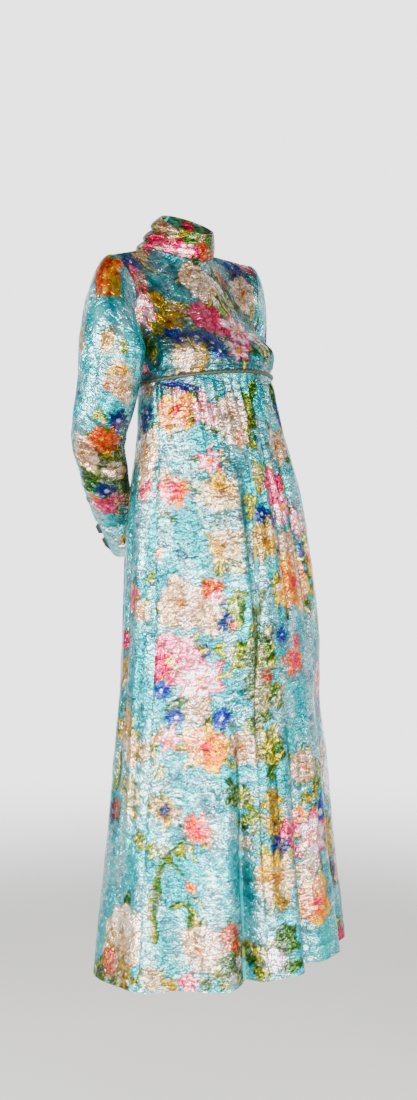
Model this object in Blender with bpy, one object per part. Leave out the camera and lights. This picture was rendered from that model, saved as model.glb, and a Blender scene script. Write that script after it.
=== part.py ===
"""Empire-waist maxi dress with long cuffed sleeves and a rolled bias collar, hollow as it is when worn.

Metres, +Z up. The front faces -Y and the wearer's right is -X. The origin is the centre of the neck base,
level with the highest points of the shoulder seams. Both sleeves go round to the back, the left one further
out.
"""

import bmesh
import bpy
import numpy as np

# Cloth, seams and trim
CLOTH = 0.0020
COLLAR_CLOTH = 0.0030
GAP = 0.0003
PIPING_RADIUS = 0.0027
ZIP_WIDTH = 0.0060
ZIP_CLOTH = 0.0016
ZIP_END = -0.430
SLIDER_WIDTH = 0.0050
SLIDER_HEIGHT = 0.0110
SLIDER_DEPTH = 0.0026
PULL_WIDTH = 0.0036
PULL_LENGTH = 0.0240
PULL_DEPTH = 0.0012

# Empire seam and hem: angles go round the body, 270 at the centre front and 90 at the centre back
SIDE_SEAM = 188.0
WAIST_BACK = -0.2465
WAIST_RISE = 0.0255
HEM_MIDDLE = -1.268
HEM_TILT = 0.025
HEM_HIGHEST = 315.0

# Skirt sections, from the empire seam to the hem
# z, centre x, centre y, half width, half depth
SKIRT_LEVELS = [
    (-0.200, 0.000, -0.062, 0.137, 0.093),
    (-0.235, 0.000, -0.065, 0.137, 0.095),
    (-0.340, 0.006, -0.075, 0.148, 0.114),
    (-0.450, 0.013, -0.080, 0.168, 0.135),
    (-0.550, 0.018, -0.082, 0.179, 0.149),
    (-0.700, 0.027, -0.080, 0.189, 0.162),
    (-0.810, 0.027, -0.075, 0.193, 0.167),
    (-0.920, 0.027, -0.077, 0.203, 0.178),
    (-1.060, 0.027, -0.076, 0.213, 0.189),
    (-1.170, 0.027, -0.077, 0.223, 0.201),
    (-1.300, 0.027, -0.078, 0.236, 0.214),
]

# Flutes of the hem
# angle of the crest, height above the next trough
HEM_FLUTES = [
    (190.0, 0.011),
    (229.0, 0.044),
    (261.0, 0.034),
    (292.0, 0.024),
    (320.0, 0.016),
    (350.0, 0.016),
    (382.0, 0.016),
    (412.0, 0.014),
    (440.0, 0.012),
    (468.0, 0.012),
    (502.0, 0.012),
]
FLUTES_START = 0.42

# Folds of the upper skirt
# angle at the seam, at the hem, share of the drop at its start, at its end, half width in degrees, depth
UPPER_FOLDS = [
    (241.0, 246.0, 0.00, 0.62, 13.0, 0.009),
    (256.0, 258.0, 0.00, 0.60, 11.0, -0.008),
    (209.0, 211.0, 0.10, 0.52, 11.0, -0.005),
    (288.0, 281.0, 0.02, 0.55, 12.0, -0.006),
]

# Gathers under the bust
GATHERS = 11
GATHER_ANGLES = (200.0, 340.0)
GATHER_DEPTH = 0.0035
GATHER_DROP = 0.16

# Bodice seams of the right half, where x is negative: the left half mirrors them
# x, y, z from the centre front round to the centre back
NECKLINE = [
    (0.000, -0.054, -0.0270),
    (-0.036, -0.043, -0.0215),
    (-0.058, -0.017, -0.0120),
    (-0.064, 0.012, -0.0040),
    (-0.055, 0.048, -0.0050),
    (-0.031, 0.072, -0.0085),
    (0.000, 0.079, -0.0110),
]
# x, y, z from the shoulder down the front, under the arm and up the back
ARMHOLE = [
    (-0.168, -0.007, -0.0220),
    (-0.161, -0.036, -0.0460),
    (-0.152, -0.048, -0.0870),
    (-0.150, -0.042, -0.1280),
    (-0.147, -0.022, -0.1570),
    (-0.150, 0.016, -0.1330),
    (-0.156, 0.038, -0.0880),
    (-0.163, 0.026, -0.0450),
]
ARMHOLE_CENTRE = np.mean(np.array(ARMHOLE), axis=0)
# x, y, z up the centre back, between the empire seam and the neckline
CENTRE_BACK = [(0.0, 0.050, -0.180), (0.0, 0.071, -0.100), (0.0, 0.083, -0.045)]
NECK_POINT = 0.5
ARMHOLE_OUT = (-0.99, 0.0, 0.14)
NECK_INSIDE = (0.0, 0.012, -0.065)
BODY_MIDDLE = (0.0, -0.045, 0.0)

# Fullness of the bodice: places are x and z, shares are of the panel's width and height
FRONT_SHOULDER = 0.27
BACK_SHOULDER = 0.56
EDGE_REACH = 0.55
PANEL_ROUNDS = 14
BUST_POINT = (0.094, -0.185)
BUST_SPREAD = (0.064, 0.062)
BUST_DEPTH = 0.028
BLOUSE_DEPTH = 0.013
BLOUSE_ROW = 0.13
BLOUSE_SPREAD = 0.26
BLADE_POINT = (0.085, -0.095)
BLADE_SPREAD = (0.055, 0.070)
BLADE_DEPTH = 0.014

# Collar: ring of its upper edge, rolls at the back and sides, one bulge at the front
COLLAR_SEAT = 0.0008
COLLAR_TOP_CENTRE = (0.0, -0.019)
COLLAR_TOP_RADIUS = (0.046, 0.049)
COLLAR_TOP_FRONT = 0.019
COLLAR_TOP_BACK = 0.060
COLLAR_ROLLS = 3
COLLAR_ROLL_HEIGHT = 0.0075
COLLAR_FRONT_BULGE = 0.0040

# Sleeves from the upper arm to the cuff seam: both are given on the right, and the left one is mirrored
# x, y, z, half width across, half width from front to back
RIGHT_ARM = [
    (-0.191, -0.031, -0.178, 0.043, 0.072),
    (-0.192, -0.018, -0.260, 0.045, 0.061),
    (-0.179, 0.018, -0.336, 0.045, 0.051),
    (-0.144, 0.044, -0.393, 0.042, 0.045),
    (-0.106, 0.071, -0.442, 0.039, 0.042),
    (-0.077, 0.091, -0.476, 0.036, 0.037),
]
LEFT_ARM = [
    (-0.180, 0.028, -0.178, 0.042, 0.058),
    (-0.181, 0.064, -0.245, 0.045, 0.056),
    (-0.176, 0.102, -0.310, 0.045, 0.050),
    (-0.150, 0.128, -0.370, 0.042, 0.045),
    (-0.122, 0.141, -0.422, 0.039, 0.042),
    (-0.100, 0.146, -0.460, 0.036, 0.037),
]
RIGHT_WRIST = (-0.035, 0.097, -0.534)
LEFT_WRIST = (-0.066, 0.146, -0.521)
SLEEVE_HEAD = 0.031
SLEEVE_HEAD_RISE = 0.008
SLEEVE_HEAD_DROP = 0.045
SLEEVE_TURN_IN = 0.008

# Cuffs: the slit's turn is measured from the outer side of the wrist towards its back
CUFF_RADIUS = 0.0345
CUFF_SLIT = 0.0085
CUFF_SLIT_TURN = 38.0
UNDERLAP_WIDTH = 0.0200
UNDERLAP_CLOTH = 0.0014
SNAP_RADIUS = 0.0032
SNAP_HEIGHT = 0.0016
SNAP_SHARE = 0.42
SNAP_SIDES = 12

# Grid sizes
ARMHOLE_ROWS = 9
SIDE_ROWS = 4
FRONT_COLUMNS = 26
BACK_COLUMNS = 12
SKIRT_FRONT_COLUMNS = 35
SKIRT_BACK_COLUMNS = 16
SKIRT_ROWS = 14
PIPING_STEPS = 52
COLLAR_COLUMNS = 28
COLLAR_ROWS = 9
SLEEVE_HEAD_ROWS = 5
SLEEVE_ROWS = 10
CUFF_COLUMNS = 16
CUFF_ROWS = 2
UNDERLAP_COLUMNS = 4


for old in list(bpy.data.objects):
    bpy.data.objects.remove(old, do_unlink=True)


def material(name, colour, roughness, metallic):
    made = bpy.data.materials.new(name)
    made.use_nodes = True
    shader = made.node_tree.nodes["Principled BSDF"]
    shader.inputs["Base Color"].default_value = (*colour, 1.0)
    shader.inputs["Roughness"].default_value = roughness
    shader.inputs["Metallic"].default_value = metallic
    return made


BROCADE = material("turquoise_lame_brocade", (0.10, 0.42, 0.45), 0.42, 0.45)
CORD = material("olive_piping", (0.10, 0.09, 0.03), 0.55, 0.10)
DARK_CLOTH = material("dark_green_underlap", (0.010, 0.022, 0.016), 0.60, 0.0)
METAL = material("nickel", (0.60, 0.60, 0.58), 0.28, 1.0)
TAPE = material("turquoise_zip_tape", (0.06, 0.30, 0.33), 0.60, 0.0)


# Curves and surfaces
def unit(vectors):
    return vectors / np.linalg.norm(vectors, axis=-1, keepdims=True)


def ramp(value, start, end):
    """0 below start, 1 above end, and a smooth S between them."""
    share = np.clip((value - start) / (end - start), 0.0, 1.0)
    return share * share * (3.0 - 2.0 * share)


def bump(distance):
    """1 at no distance, 0 beyond a distance of 1, and smooth between them."""
    return np.cos(np.pi * np.clip(distance, -1.0, 1.0) / 2.0) ** 2


def spline(where, knots, values, closed=False):
    """Cubic curve through the values at the knots, for an array of places along them."""
    knots = np.asarray(knots, float)
    values = np.asarray(values, float)
    if closed:
        span = knots[-1] + knots[1] - 2.0 * knots[0]
        knots = np.concatenate([knots - span, knots, knots + span])
        values = np.concatenate([values, values, values])
    slopes = np.gradient(values, knots, axis=0)
    where = np.asarray(where, float)
    left = np.clip(np.searchsorted(knots, where, side="right") - 1, 0, len(knots) - 2)
    width = (knots[left + 1] - knots[left])[..., None]
    share = (where - knots[left])[..., None] / width
    return (
        (2 * share**3 - 3 * share**2 + 1) * values[left]
        + (share**3 - 2 * share**2 + share) * width * slopes[left]
        + (3 * share**2 - 2 * share**3) * values[left + 1]
        + (share**3 - share**2) * width * slopes[left + 1]
    )


def mirrored(points):
    return np.asarray(points) * (-1.0, 1.0, 1.0)


def surface_normal(surface, across, along, step=1e-3):
    """Unit vectors square to a surface function, by central differences."""
    side = surface(across + step, along) - surface(across - step, along)
    down = surface(across, along + step) - surface(across, along - step)
    return unit(np.cross(side, down))


def turn_for(length, surface, place, along, step=1e-3):
    """How far the first coordinate of a surface moves for a length across it, at one place of each row."""
    place = place + 0.0 * along
    return length * step / np.linalg.norm(surface(place + step, along) - surface(place, along), axis=-1)


# Solids
def closed_object(name, verts, faces, mat):
    mesh = bpy.data.meshes.new(name)
    mesh.from_pydata([tuple(vert) for vert in verts], [], faces)
    work = bmesh.new()
    work.from_mesh(mesh)
    bmesh.ops.recalc_face_normals(work, faces=work.faces)
    work.to_mesh(mesh)
    work.free()
    mesh.materials.append(mat)
    mesh.shade_smooth()
    mesh.set_sharp_from_angle(angle=np.radians(60.0))
    bpy.context.collection.objects.link(bpy.data.objects.new(name, mesh))


def wall(name, outer, inner, mat, ring=False):
    """Closed solid between two grids of points. A ring joins its last column to its first."""
    rows, columns = outer.shape[:2]
    index = np.arange(rows * columns).reshape(rows, columns)
    if ring:
        index = np.concatenate([index, index[:, :1]], axis=1)
    behind = index + rows * columns
    faces = []
    for front in (index, behind):
        corners = (front[:-1, :-1], front[:-1, 1:], front[1:, 1:], front[1:, :-1])
        faces.append(np.stack(corners, axis=-1).reshape(-1, 4))
    rims = [(index[0], behind[0]), (index[-1], behind[-1])]
    if not ring:
        rims += [(index[:, 0], behind[:, 0]), (index[:, -1], behind[:, -1])]
    for near, far in rims:
        faces.append(np.stack([near[:-1], near[1:], far[1:], far[:-1]], axis=-1))
    verts = np.concatenate([outer.reshape(-1, 3), inner.reshape(-1, 3)])
    closed_object(name, verts, np.concatenate(faces).tolist(), mat)


def prism(name, foot, head, mat):
    """Closed solid between two rings of points."""
    count = len(foot)
    sides = [(i, (i + 1) % count, count + (i + 1) % count, count + i) for i in range(count)]
    ends = [tuple(range(count)), tuple(range(count, 2 * count))]
    closed_object(name, np.concatenate([foot, head]), sides + ends, mat)


# Empire seam and skirt
def section(angle, z):
    """Points of the plain skirt section at height z, before any fold."""
    table = np.array(SKIRT_LEVELS)
    x, y, half_width, half_depth = np.moveaxis(spline(-z, -table[:, 0], table[:, 1:]), -1, 0)
    turn = np.radians(angle)
    return np.stack([x + half_width * np.cos(turn), y + half_depth * np.sin(turn), z + 0.0 * turn], axis=-1)


def waist(angle):
    """Points of the empire seam, which rises towards the front."""
    front = (1.0 - np.sin(np.radians(angle))) / 2.0
    return section(angle, WAIST_BACK + WAIST_RISE * front**2)


def flutes(angle):
    """Waves between the uneven crests of the hem, from half their height down to minus half of it."""
    crests, heights = np.array(HEM_FLUTES + [(HEM_FLUTES[0][0] + 360.0, HEM_FLUTES[0][1])]).T
    place = (angle - crests[0]) % 360.0 + crests[0]
    phase = np.interp(place, crests, np.arange(len(crests)))
    return np.cos(2.0 * np.pi * phase) * np.interp(place, crests, heights) / 2.0


def skirt_folds(angle, drop):
    """How far the cloth stands out from its section: flutes below, folds above, gathers at the seam."""
    out = flutes(angle) * ramp(drop, FLUTES_START, 1.05)
    for at_seam, at_hem, start, end, half_width, depth in UPPER_FOLDS:
        middle = at_seam + (at_hem - at_seam) * drop
        fade = ramp(drop, start, start + 0.12) * (1.0 - ramp(drop, end - 0.25, end))
        out = out + depth * fade * bump((angle - middle) / half_width)
    first, last = GATHER_ANGLES
    front = ramp(angle, first - 4.0, first + 14.0) * (1.0 - ramp(angle, last - 14.0, last + 4.0))
    gathers = np.cos(2.0 * np.pi * GATHERS * (angle - first) / (last - first))
    fade = ramp(drop, 0.0, 0.04) * (1.0 - ramp(drop, 0.05, GATHER_DROP))
    return out + GATHER_DEPTH * gathers * front * fade


def skirt(angle, drop):
    """Outer face of the skirt: drop is 0 at the empire seam and 1 at the hem."""
    top = waist(angle)[..., 2] - PIPING_RADIUS - GAP
    hem = HEM_MIDDLE + HEM_TILT * np.cos(np.radians(angle - HEM_HIGHEST))
    turn = np.radians(angle)
    away = np.stack([np.cos(turn), np.sin(turn), 0.0 * turn], axis=-1)
    return section(angle, top + (hem - top) * drop) + away * skirt_folds(angle, drop)[..., None]


def skirt_rows():
    """Drops of the rows, close together under the seam and round the zip's end, and the drop of that end."""
    top = waist(90.0)[2]
    zip_drop = (top - ZIP_END) / (top - HEM_MIDDLE)
    rows = np.linspace(0.0, 1.0, SKIRT_ROWS) ** 1.15
    rows = rows[np.abs(rows - zip_drop) > 0.02]
    return np.sort(np.concatenate([rows, [0.028, zip_drop, zip_drop + 0.004]])), zip_drop


def skirt_panel(name, start, end, columns, start_gap, end_gap):
    """Skirt panel between two seam angles. It keeps a gap to each seam line, given for each row."""
    rows, _ = skirt_rows()
    first = start + turn_for(start_gap, skirt, start, rows)
    last = end - turn_for(end_gap, skirt, end, rows)
    angle = first[:, None] + (last - first)[:, None] * np.linspace(0.0, 1.0, columns + 1)
    drop = rows[:, None] + np.zeros(columns + 1)
    outer = skirt(angle, drop)
    inside = surface_normal(skirt, angle, drop)
    inside[[0, -1]] = unit(inside[[0, -1]] * (1.0, 1.0, 0.0))
    wall(name, outer, outer + inside * CLOTH, BROCADE)


def skirt_panels():
    rows, zip_drop = skirt_rows()
    seam = np.full(len(rows), GAP / 2.0)
    centre_back = np.where(rows <= zip_drop + 1e-6, ZIP_WIDTH / 2.0 + GAP, GAP / 2.0)
    left_seam = 540.0 - SIDE_SEAM
    skirt_panel("skirt_front", SIDE_SEAM, left_seam, SKIRT_FRONT_COLUMNS, seam, seam)
    skirt_panel("skirt_back_left", left_seam, 450.0, SKIRT_BACK_COLUMNS, seam, centre_back)
    skirt_panel("skirt_back_right", 90.0, SIDE_SEAM, SKIRT_BACK_COLUMNS, centre_back, seam)


# Bodice
def armhole(place):
    """Right armhole: place 0 at the shoulder, 0.25 at the front, 0.5 under the arm and 0.75 at the back."""
    return spline(np.asarray(place) % 1.0, np.arange(len(ARMHOLE)) / len(ARMHOLE), ARMHOLE, closed=True)


def neckline(place):
    """Neckline: 0 at the centre front, 1 and -1 at the centre back, and positive on the right."""
    right = np.array(NECKLINE)
    ring = np.concatenate([right, mirrored(right[1:-1])[::-1]])
    return spline(np.asarray(place) % 2.0, np.arange(len(ring)) / (len(right) - 1), ring, closed=True)


def bodice_rows():
    """Shares of the panel's height, and the share at which the armhole starts."""
    armhole_start = SIDE_ROWS / (SIDE_ROWS + ARMHOLE_ROWS)
    return np.linspace(0.0, 1.0, SIDE_ROWS + ARMHOLE_ROWS + 1), armhole_start


def above_piping(angle):
    return waist(angle) + (0.0, 0.0, PIPING_RADIUS + GAP)


def right_edge(rows, towards_front):
    """Side seam from the empire seam to under the arm, then one half of the armhole up to the shoulder."""
    _, armhole_start = bodice_rows()
    foot = above_piping(np.array(SIDE_SEAM))
    side = foot + (armhole(0.5) - foot) * (rows / armhole_start)[:, None]
    up = np.clip((rows - armhole_start) / (1.0 - armhole_start), 0.0, 1.0) / 2.0
    hole = armhole(0.5 - up if towards_front else 0.5 + up)
    return np.where((rows < armhole_start)[:, None], side, hole)


def shoulder_and_neck(across, shoulder, end):
    """Top edge of a panel: the shoulder seam up to its share of the width, then the neckline to a place."""
    tip = armhole(0.0)
    out = np.clip(across / shoulder, 0.0, 1.0)[:, None]
    turn = np.clip((across - shoulder) / (1.0 - shoulder), 0.0, 1.0)
    seam = tip + (neckline(NECK_POINT) - tip) * out
    return np.where(out < 1.0, seam, neckline(NECK_POINT + (end - NECK_POINT) * turn))


def panel_grid(bottom, top, left, right, across, rows):
    """Surface from a bottom to a top edge. The bend of each side edge fades out towards the middle."""
    rows = rows[:, None, None]
    grid = (1.0 - rows) * bottom + rows * top
    near_left = (1.0 - ramp(across, 0.0, EDGE_REACH))[:, None]
    near_right = ramp(across, 1.0 - EDGE_REACH, 1.0)[:, None]
    return grid + near_left * (left[:, None] - grid[:, :1]) + near_right * (right[:, None] - grid[:, -1:])


def relaxed(grid):
    """Grid with its interior evened out, so that a corner in one edge leaves no crease in the cloth."""
    for _ in range(PANEL_ROUNDS):
        around = grid[:-2, 1:-1] + grid[2:, 1:-1] + grid[1:-1, :-2] + grid[1:-1, 2:]
        grid[1:-1, 1:-1] = 0.5 * grid[1:-1, 1:-1] + 0.125 * around
    return grid


def swelling(grid, point, spread, depth):
    """Depth of a bust cup or shoulder blade, on both sides of the centre."""
    across = (np.abs(grid[..., 0]) - point[0]) / spread[0]
    return depth * np.exp(-(across**2) - ((grid[..., 2] - point[1]) / spread[1]) ** 2)


def front_bodice():
    """Front from side seam to side seam, with two cups and a little blousing over the empire seam."""
    rows, _ = bodice_rows()
    across = np.linspace(0.0, 1.0, FRONT_COLUMNS + 1)
    half = across <= 0.5
    top = shoulder_and_neck(np.minimum(across, 1.0 - across) * 2.0, 2.0 * FRONT_SHOULDER, 0.0)
    top = np.where(half[:, None], top, mirrored(top))
    left = right_edge(rows, True)
    bottom = above_piping(SIDE_SEAM + (540.0 - 2.0 * SIDE_SEAM) * across)
    grid = relaxed(panel_grid(bottom, top, left, mirrored(left), across, rows))
    inside = ramp(across, 0.0, 0.12) * (1.0 - ramp(across, 0.88, 1.0))
    height = ramp(rows, 0.0, 0.20) * (1.0 - ramp(rows, 0.72, 1.0))
    cups = swelling(grid, BUST_POINT, BUST_SPREAD, BUST_DEPTH) * height[:, None] * inside
    grid[..., 1] -= cups
    blouse = BLOUSE_DEPTH * bump((rows - BLOUSE_ROW) / BLOUSE_SPREAD) * ramp(rows, 0.0, 0.06)
    away = unit((grid - (0.0, SKIRT_LEVELS[1][2], 0.0)) * (1.0, 1.0, 0.0))
    grid += away * (blouse[:, None] * inside)[..., None]
    outer, inner = bodice_wall(grid, {0: 1.0, -1: -1.0})
    wall("bodice_front", outer, inner, BROCADE)


def back_bodice():
    """Right back from the side seam to the zip, and its mirror. Returns the edge along the centre back."""
    rows, _ = bodice_rows()
    across = np.linspace(0.0, 1.0, BACK_COLUMNS + 1)
    bottom = above_piping(SIDE_SEAM + (90.0 - SIDE_SEAM) * across)
    top = shoulder_and_neck(across, BACK_SHOULDER, 1.0)
    centre = np.array([bottom[-1], *CENTRE_BACK, top[-1]])
    right = spline(rows, np.linspace(0.0, 1.0, len(centre)), centre)
    grid = relaxed(panel_grid(bottom, top, right_edge(rows, False), right, across, rows))
    inside = ramp(across, 0.0, 0.3) * (1.0 - ramp(across, 0.7, 1.0))
    height = ramp(rows, 0.0, 0.3) * (1.0 - ramp(rows, 0.75, 1.0))
    grid[..., 1] += swelling(grid, BLADE_POINT, BLADE_SPREAD, BLADE_DEPTH) * height[:, None] * inside
    grid[..., 0] -= (ZIP_WIDTH / 2.0 + GAP) * ramp(across, 0.0, 1.0)
    outer, inner = bodice_wall(grid, {0: 1.0})
    wall("bodice_back_right", outer, inner, BROCADE)
    wall("bodice_back_left", mirrored(outer), mirrored(inner), BROCADE)
    return outer[:, -1] * (0.0, 1.0, 1.0)


def towards(points, centre):
    return unit(np.asarray(centre) - points)


def bodice_wall(grid, armholes):
    """Outer and inner grids of a panel. At a seam both cloths turn in the same way and keep their gap.

    armholes gives the column of each side edge, with 1 for a right armhole and -1 for a left one.
    """
    rows, armhole_start = bodice_rows()
    inside = unit(np.cross(np.gradient(grid, axis=1), np.gradient(grid, axis=0)))
    inside *= np.sign(np.mean(np.sum(inside * (np.array(BODY_MIDDLE) - grid) * (1.0, 1.0, 0.0), axis=-1)))
    inside[0] = unit(inside[0] * (1.0, 1.0, 0.0))
    shoulder = np.abs(grid[-1, :, 0]) > -neckline(NECK_POINT)[0] - 1e-6
    inside[-1] = np.where(shoulder[:, None], (0.0, 0.0, -1.0), towards(grid[-1], NECK_INSIDE))
    if len(armholes) == 1:
        inside[:, -1] = unit(inside[:, -1] * (0.0, 1.0, 1.0))
    outer = grid.copy()
    at_hole = rows > armhole_start - 1e-9
    at_side = rows < armhole_start + 1e-9
    for column, side in armholes.items():
        edge = grid[:, column]
        hole = towards(edge, ARMHOLE_CENTRE * (side, 1.0, 1.0))
        seam = unit((np.array(BODY_MIDDLE) - edge) * (1.0, 1.0, 0.0))
        both = (at_hole & at_side)[:, None]
        inside[:, column] = np.where(both, unit(hole + seam), np.where(at_hole[:, None], hole, seam))
        beside = grid[:, 1] if column == 0 else grid[:, -2]
        outer[at_side, column] += unit(beside - edge)[at_side] * GAP
        outer[at_hole, column] -= unit(np.array(ARMHOLE_OUT)) * (side, 1.0, 1.0) * GAP / 2.0
    outer[-1] += unit(grid[-2] - grid[-1]) * GAP / 2.0
    return outer, outer + inside * CLOTH


# Collar
def collar_plain(place, height):
    """Collar without its rolls: place is the neckline's, height is 0 at the neck and 1 at the top."""
    turn = np.radians(270.0 - 180.0 * place)
    front = (1.0 - np.sin(turn)) / 2.0
    x = COLLAR_TOP_CENTRE[0] + COLLAR_TOP_RADIUS[0] * np.cos(turn)
    y = COLLAR_TOP_CENTRE[1] + COLLAR_TOP_RADIUS[1] * np.sin(turn)
    top = np.stack([x, y, COLLAR_TOP_BACK + (COLLAR_TOP_FRONT - COLLAR_TOP_BACK) * front], axis=-1)
    base = neckline(place) + (0.0, 0.0, COLLAR_SEAT)
    return base + (top - base) * np.asarray(height)[..., None]


def collar_surface(place, height):
    """Outer face: rolls at the back and sides that merge into one bulge in front and flatten at the zip."""
    rolls = np.abs(np.sin(np.pi * COLLAR_ROLLS * height)) * COLLAR_ROLL_HEIGHT
    bulge = np.sin(np.pi * height) * COLLAR_FRONT_BULGE
    back = ramp(np.abs(place), 0.10, 0.42)
    at_zip = 1.0 - 0.7 * ramp(np.abs(place), 0.90, 1.0)
    out = (bulge * (1.0 - back) + rolls * back) * at_zip
    return collar_plain(place, height) - surface_normal(collar_plain, place, height) * out[..., None]


def collar():
    rows = np.linspace(0.0, 1.0, COLLAR_ROWS + 1)
    half_zip = turn_for(ZIP_WIDTH / 2.0 + GAP, collar_plain, 0.99, rows)
    place = np.linspace(-1.0, 1.0, COLLAR_COLUMNS + 1) * (1.0 - half_zip)[:, None]
    height = rows[:, None] + np.zeros(COLLAR_COLUMNS + 1)
    outer = collar_surface(place, height)
    inside = surface_normal(collar_plain, place, height)
    inside[0] = towards(outer[0], NECK_INSIDE)
    wall("collar", outer, outer + inside * COLLAR_CLOTH, BROCADE)


# Sleeves and cuffs
def sleeve_rings(arm, wrist):
    """Rings of a sleeve below its head, square to the arm, their centres and the arm's first direction."""
    table = np.vstack([arm, (*wrist, *arm[-1][3:])])
    knots = np.concatenate([[0.0], np.cumsum(np.linalg.norm(np.diff(table[:, :3], axis=0), axis=1))])
    where = np.linspace(0.0, knots[-2], SLEEVE_ROWS + 1)
    values = spline(where, knots, table)
    along = unit((spline(where + 1e-4, knots, table) - values)[:, :3])
    along[-1] = unit(table[-1, :3] - table[-2, :3])
    out = unit(np.array((-1.0, 0.0, 0.0)) + along * along[:, :1])
    forward = np.cross(out, along)
    turn_in = ramp(where, where[-1] - SLEEVE_TURN_IN, where[-1])[:, None]
    widths = values[:, 3:] + (CUFF_RADIUS - values[:, 3:]) * turn_in
    turn = 2.0 * np.pi * sleeve_places()[None, :, None]
    centres = values[:, None, :3]
    rings = centres + out[:, None] * np.cos(turn) * widths[:, None, :1]
    rings = rings + forward[:, None] * np.sin(turn) * widths[:, None, 1:]
    return rings, centres, along[0]


def sleeve_places():
    """Places round the armhole, the same as the rows of the bodice's panels."""
    return np.arange(2 * ARMHOLE_ROWS) / (2.0 * ARMHOLE_ROWS)


def sleeve(name, arm, wrist, mirror):
    """Sleeve from the armhole over a rounded head and down the arm."""
    rings, centres, along = sleeve_rings(arm, wrist)
    start = armhole(sleeve_places())
    outer_side = (0.5 + 0.5 * np.cos(2.0 * np.pi * sleeve_places()))[:, None]
    bend = start + np.array((-SLEEVE_HEAD, 0.0, 0.0)) * (0.25 + 0.75 * outer_side)
    bend = bend + np.array((0.0, 0.0, SLEEVE_HEAD_RISE)) * outer_side**2
    above = rings[0] - along * SLEEVE_HEAD_DROP * (0.15 + 0.85 * outer_side)
    share = np.linspace(0.0, 1.0, SLEEVE_HEAD_ROWS + 1)[:-1, None, None]
    head = (1 - share) ** 3 * start + 3 * share * (1 - share) ** 2 * bend
    head = head + 3 * share**2 * (1 - share) * above + share**3 * rings[0]
    outer = np.concatenate([head, rings])
    inside = towards(outer, np.concatenate([head.mean(axis=1, keepdims=True), centres]))
    inside[0] = towards(start, ARMHOLE_CENTRE)
    outer[0] += unit(np.array(ARMHOLE_OUT)) * GAP
    inner = outer + inside * CLOTH
    if mirror:
        outer, inner = mirrored(outer), mirrored(inner)
    wall(name, outer, inner, BROCADE, ring=True)


def cuff_frame(arm, wrist):
    """Start and length of the cuff as vectors, and directions to the outer side and back of the wrist."""
    start = np.array(arm[-1][:3])
    along = unit(np.array(wrist) - start)
    out = unit(np.array((-1.0, 0.0, 0.0)) + along * along[0])
    start = start + along * GAP
    return start, np.array(wrist) - start, out, np.cross(along, out)


def cuff_band(frame, radius, first, last, columns, shares):
    """Part of the cuff's tube between two turns, in degrees, with a row at each share of its length."""
    start, length, out, back = frame
    turn = np.radians(np.linspace(first, last, columns + 1))[:, None]
    return (start + shares[:, None] * length)[:, None] + (out * np.cos(turn) + back * np.sin(turn)) * radius


def cuff(side, arm, wrist, mirror):
    """Cuff open along its slit, the underlap that shows there, and the snap on it."""
    frame = cuff_frame(arm, wrist)
    slit = np.degrees(CUFF_SLIT / 2.0 / CUFF_RADIUS)
    first, last = CUFF_SLIT_TURN + slit, CUFF_SLIT_TURN + 360.0 - slit
    whole = np.linspace(0.0, 1.0, CUFF_ROWS + 1)
    outer = cuff_band(frame, CUFF_RADIUS, first, last, CUFF_COLUMNS, whole)
    inner = cuff_band(frame, CUFF_RADIUS - CLOTH, first, last, CUFF_COLUMNS, whole)

    flat = np.cos(np.radians((last - first) / CUFF_COLUMNS / 2.0))
    lap_radius = (CUFF_RADIUS - CLOTH) * flat - GAP
    half = np.degrees(UNDERLAP_WIDTH / 2.0 / lap_radius)
    first, last = CUFF_SLIT_TURN - half, CUFF_SLIT_TURN + half
    ends = np.array((0.02, 0.98))
    lap_outer = cuff_band(frame, lap_radius, first, last, UNDERLAP_COLUMNS, ends)
    lap_inner = cuff_band(frame, lap_radius - UNDERLAP_CLOTH, first, last, UNDERLAP_COLUMNS, ends)

    start, length, out, back = frame
    slit_turn = np.radians(CUFF_SLIT_TURN)
    away = out * np.cos(slit_turn) + back * np.sin(slit_turn)
    foot = start + length * SNAP_SHARE + away * (lap_radius + GAP)
    turn = (2.0 * np.pi * np.arange(SNAP_SIDES) / SNAP_SIDES)[:, None]
    rim = (unit(length) * np.cos(turn) + np.cross(away, unit(length)) * np.sin(turn)) * SNAP_RADIUS
    snap_foot = foot + rim
    snap_head = foot + rim * 0.8 + away * SNAP_HEIGHT

    solids = (outer, inner, lap_outer, lap_inner, snap_foot, snap_head)
    if mirror:
        solids = [mirrored(points) for points in solids]
    wall("cuff_" + side, solids[0], solids[1], BROCADE)
    wall("cuff_underlap_" + side, solids[2], solids[3], DARK_CLOTH)
    prism("cuff_snap_" + side, solids[4], solids[5], METAL)


# Piping of the empire seam
def piping():
    """Cord along the empire seam, from one side of the zip round the front to the other."""
    half_zip = np.degrees((ZIP_WIDTH / 2.0 + GAP) / SKIRT_LEVELS[1][3])
    points = waist(np.linspace(90.0 + half_zip, 450.0 - half_zip, PIPING_STEPS + 1))
    points += unit(((0.0, SKIRT_LEVELS[1][2], 0.0) - points) * (1.0, 1.0, 0.0)) * CLOTH / 2.0
    curve = bpy.data.curves.new("waist_piping", "CURVE")
    curve.dimensions = "3D"
    curve.bevel_depth = PIPING_RADIUS
    curve.bevel_resolution = 2
    curve.use_fill_caps = True
    cord = curve.splines.new("POLY")
    cord.points.add(len(points) - 1)
    for point, place in zip(cord.points, points):
        point.co = (*place, 1.0)
    curve.materials.append(CORD)
    bpy.context.collection.objects.link(bpy.data.objects.new("waist_piping", curve))


# Slide fastener of the centre back
def zip_line(bodice_edge):
    """Outer face of the cloth down the centre back, from the collar's top edge to the zip's end."""
    neck = collar_surface(np.ones(COLLAR_ROWS), np.linspace(1.0, 0.0, COLLAR_ROWS + 1)[:-1])
    rows, zip_drop = skirt_rows()
    rows = rows[rows <= zip_drop + 1e-6]
    return np.concatenate([neck, bodice_edge[::-1], skirt(np.full(len(rows), 90.0), rows)])


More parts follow.
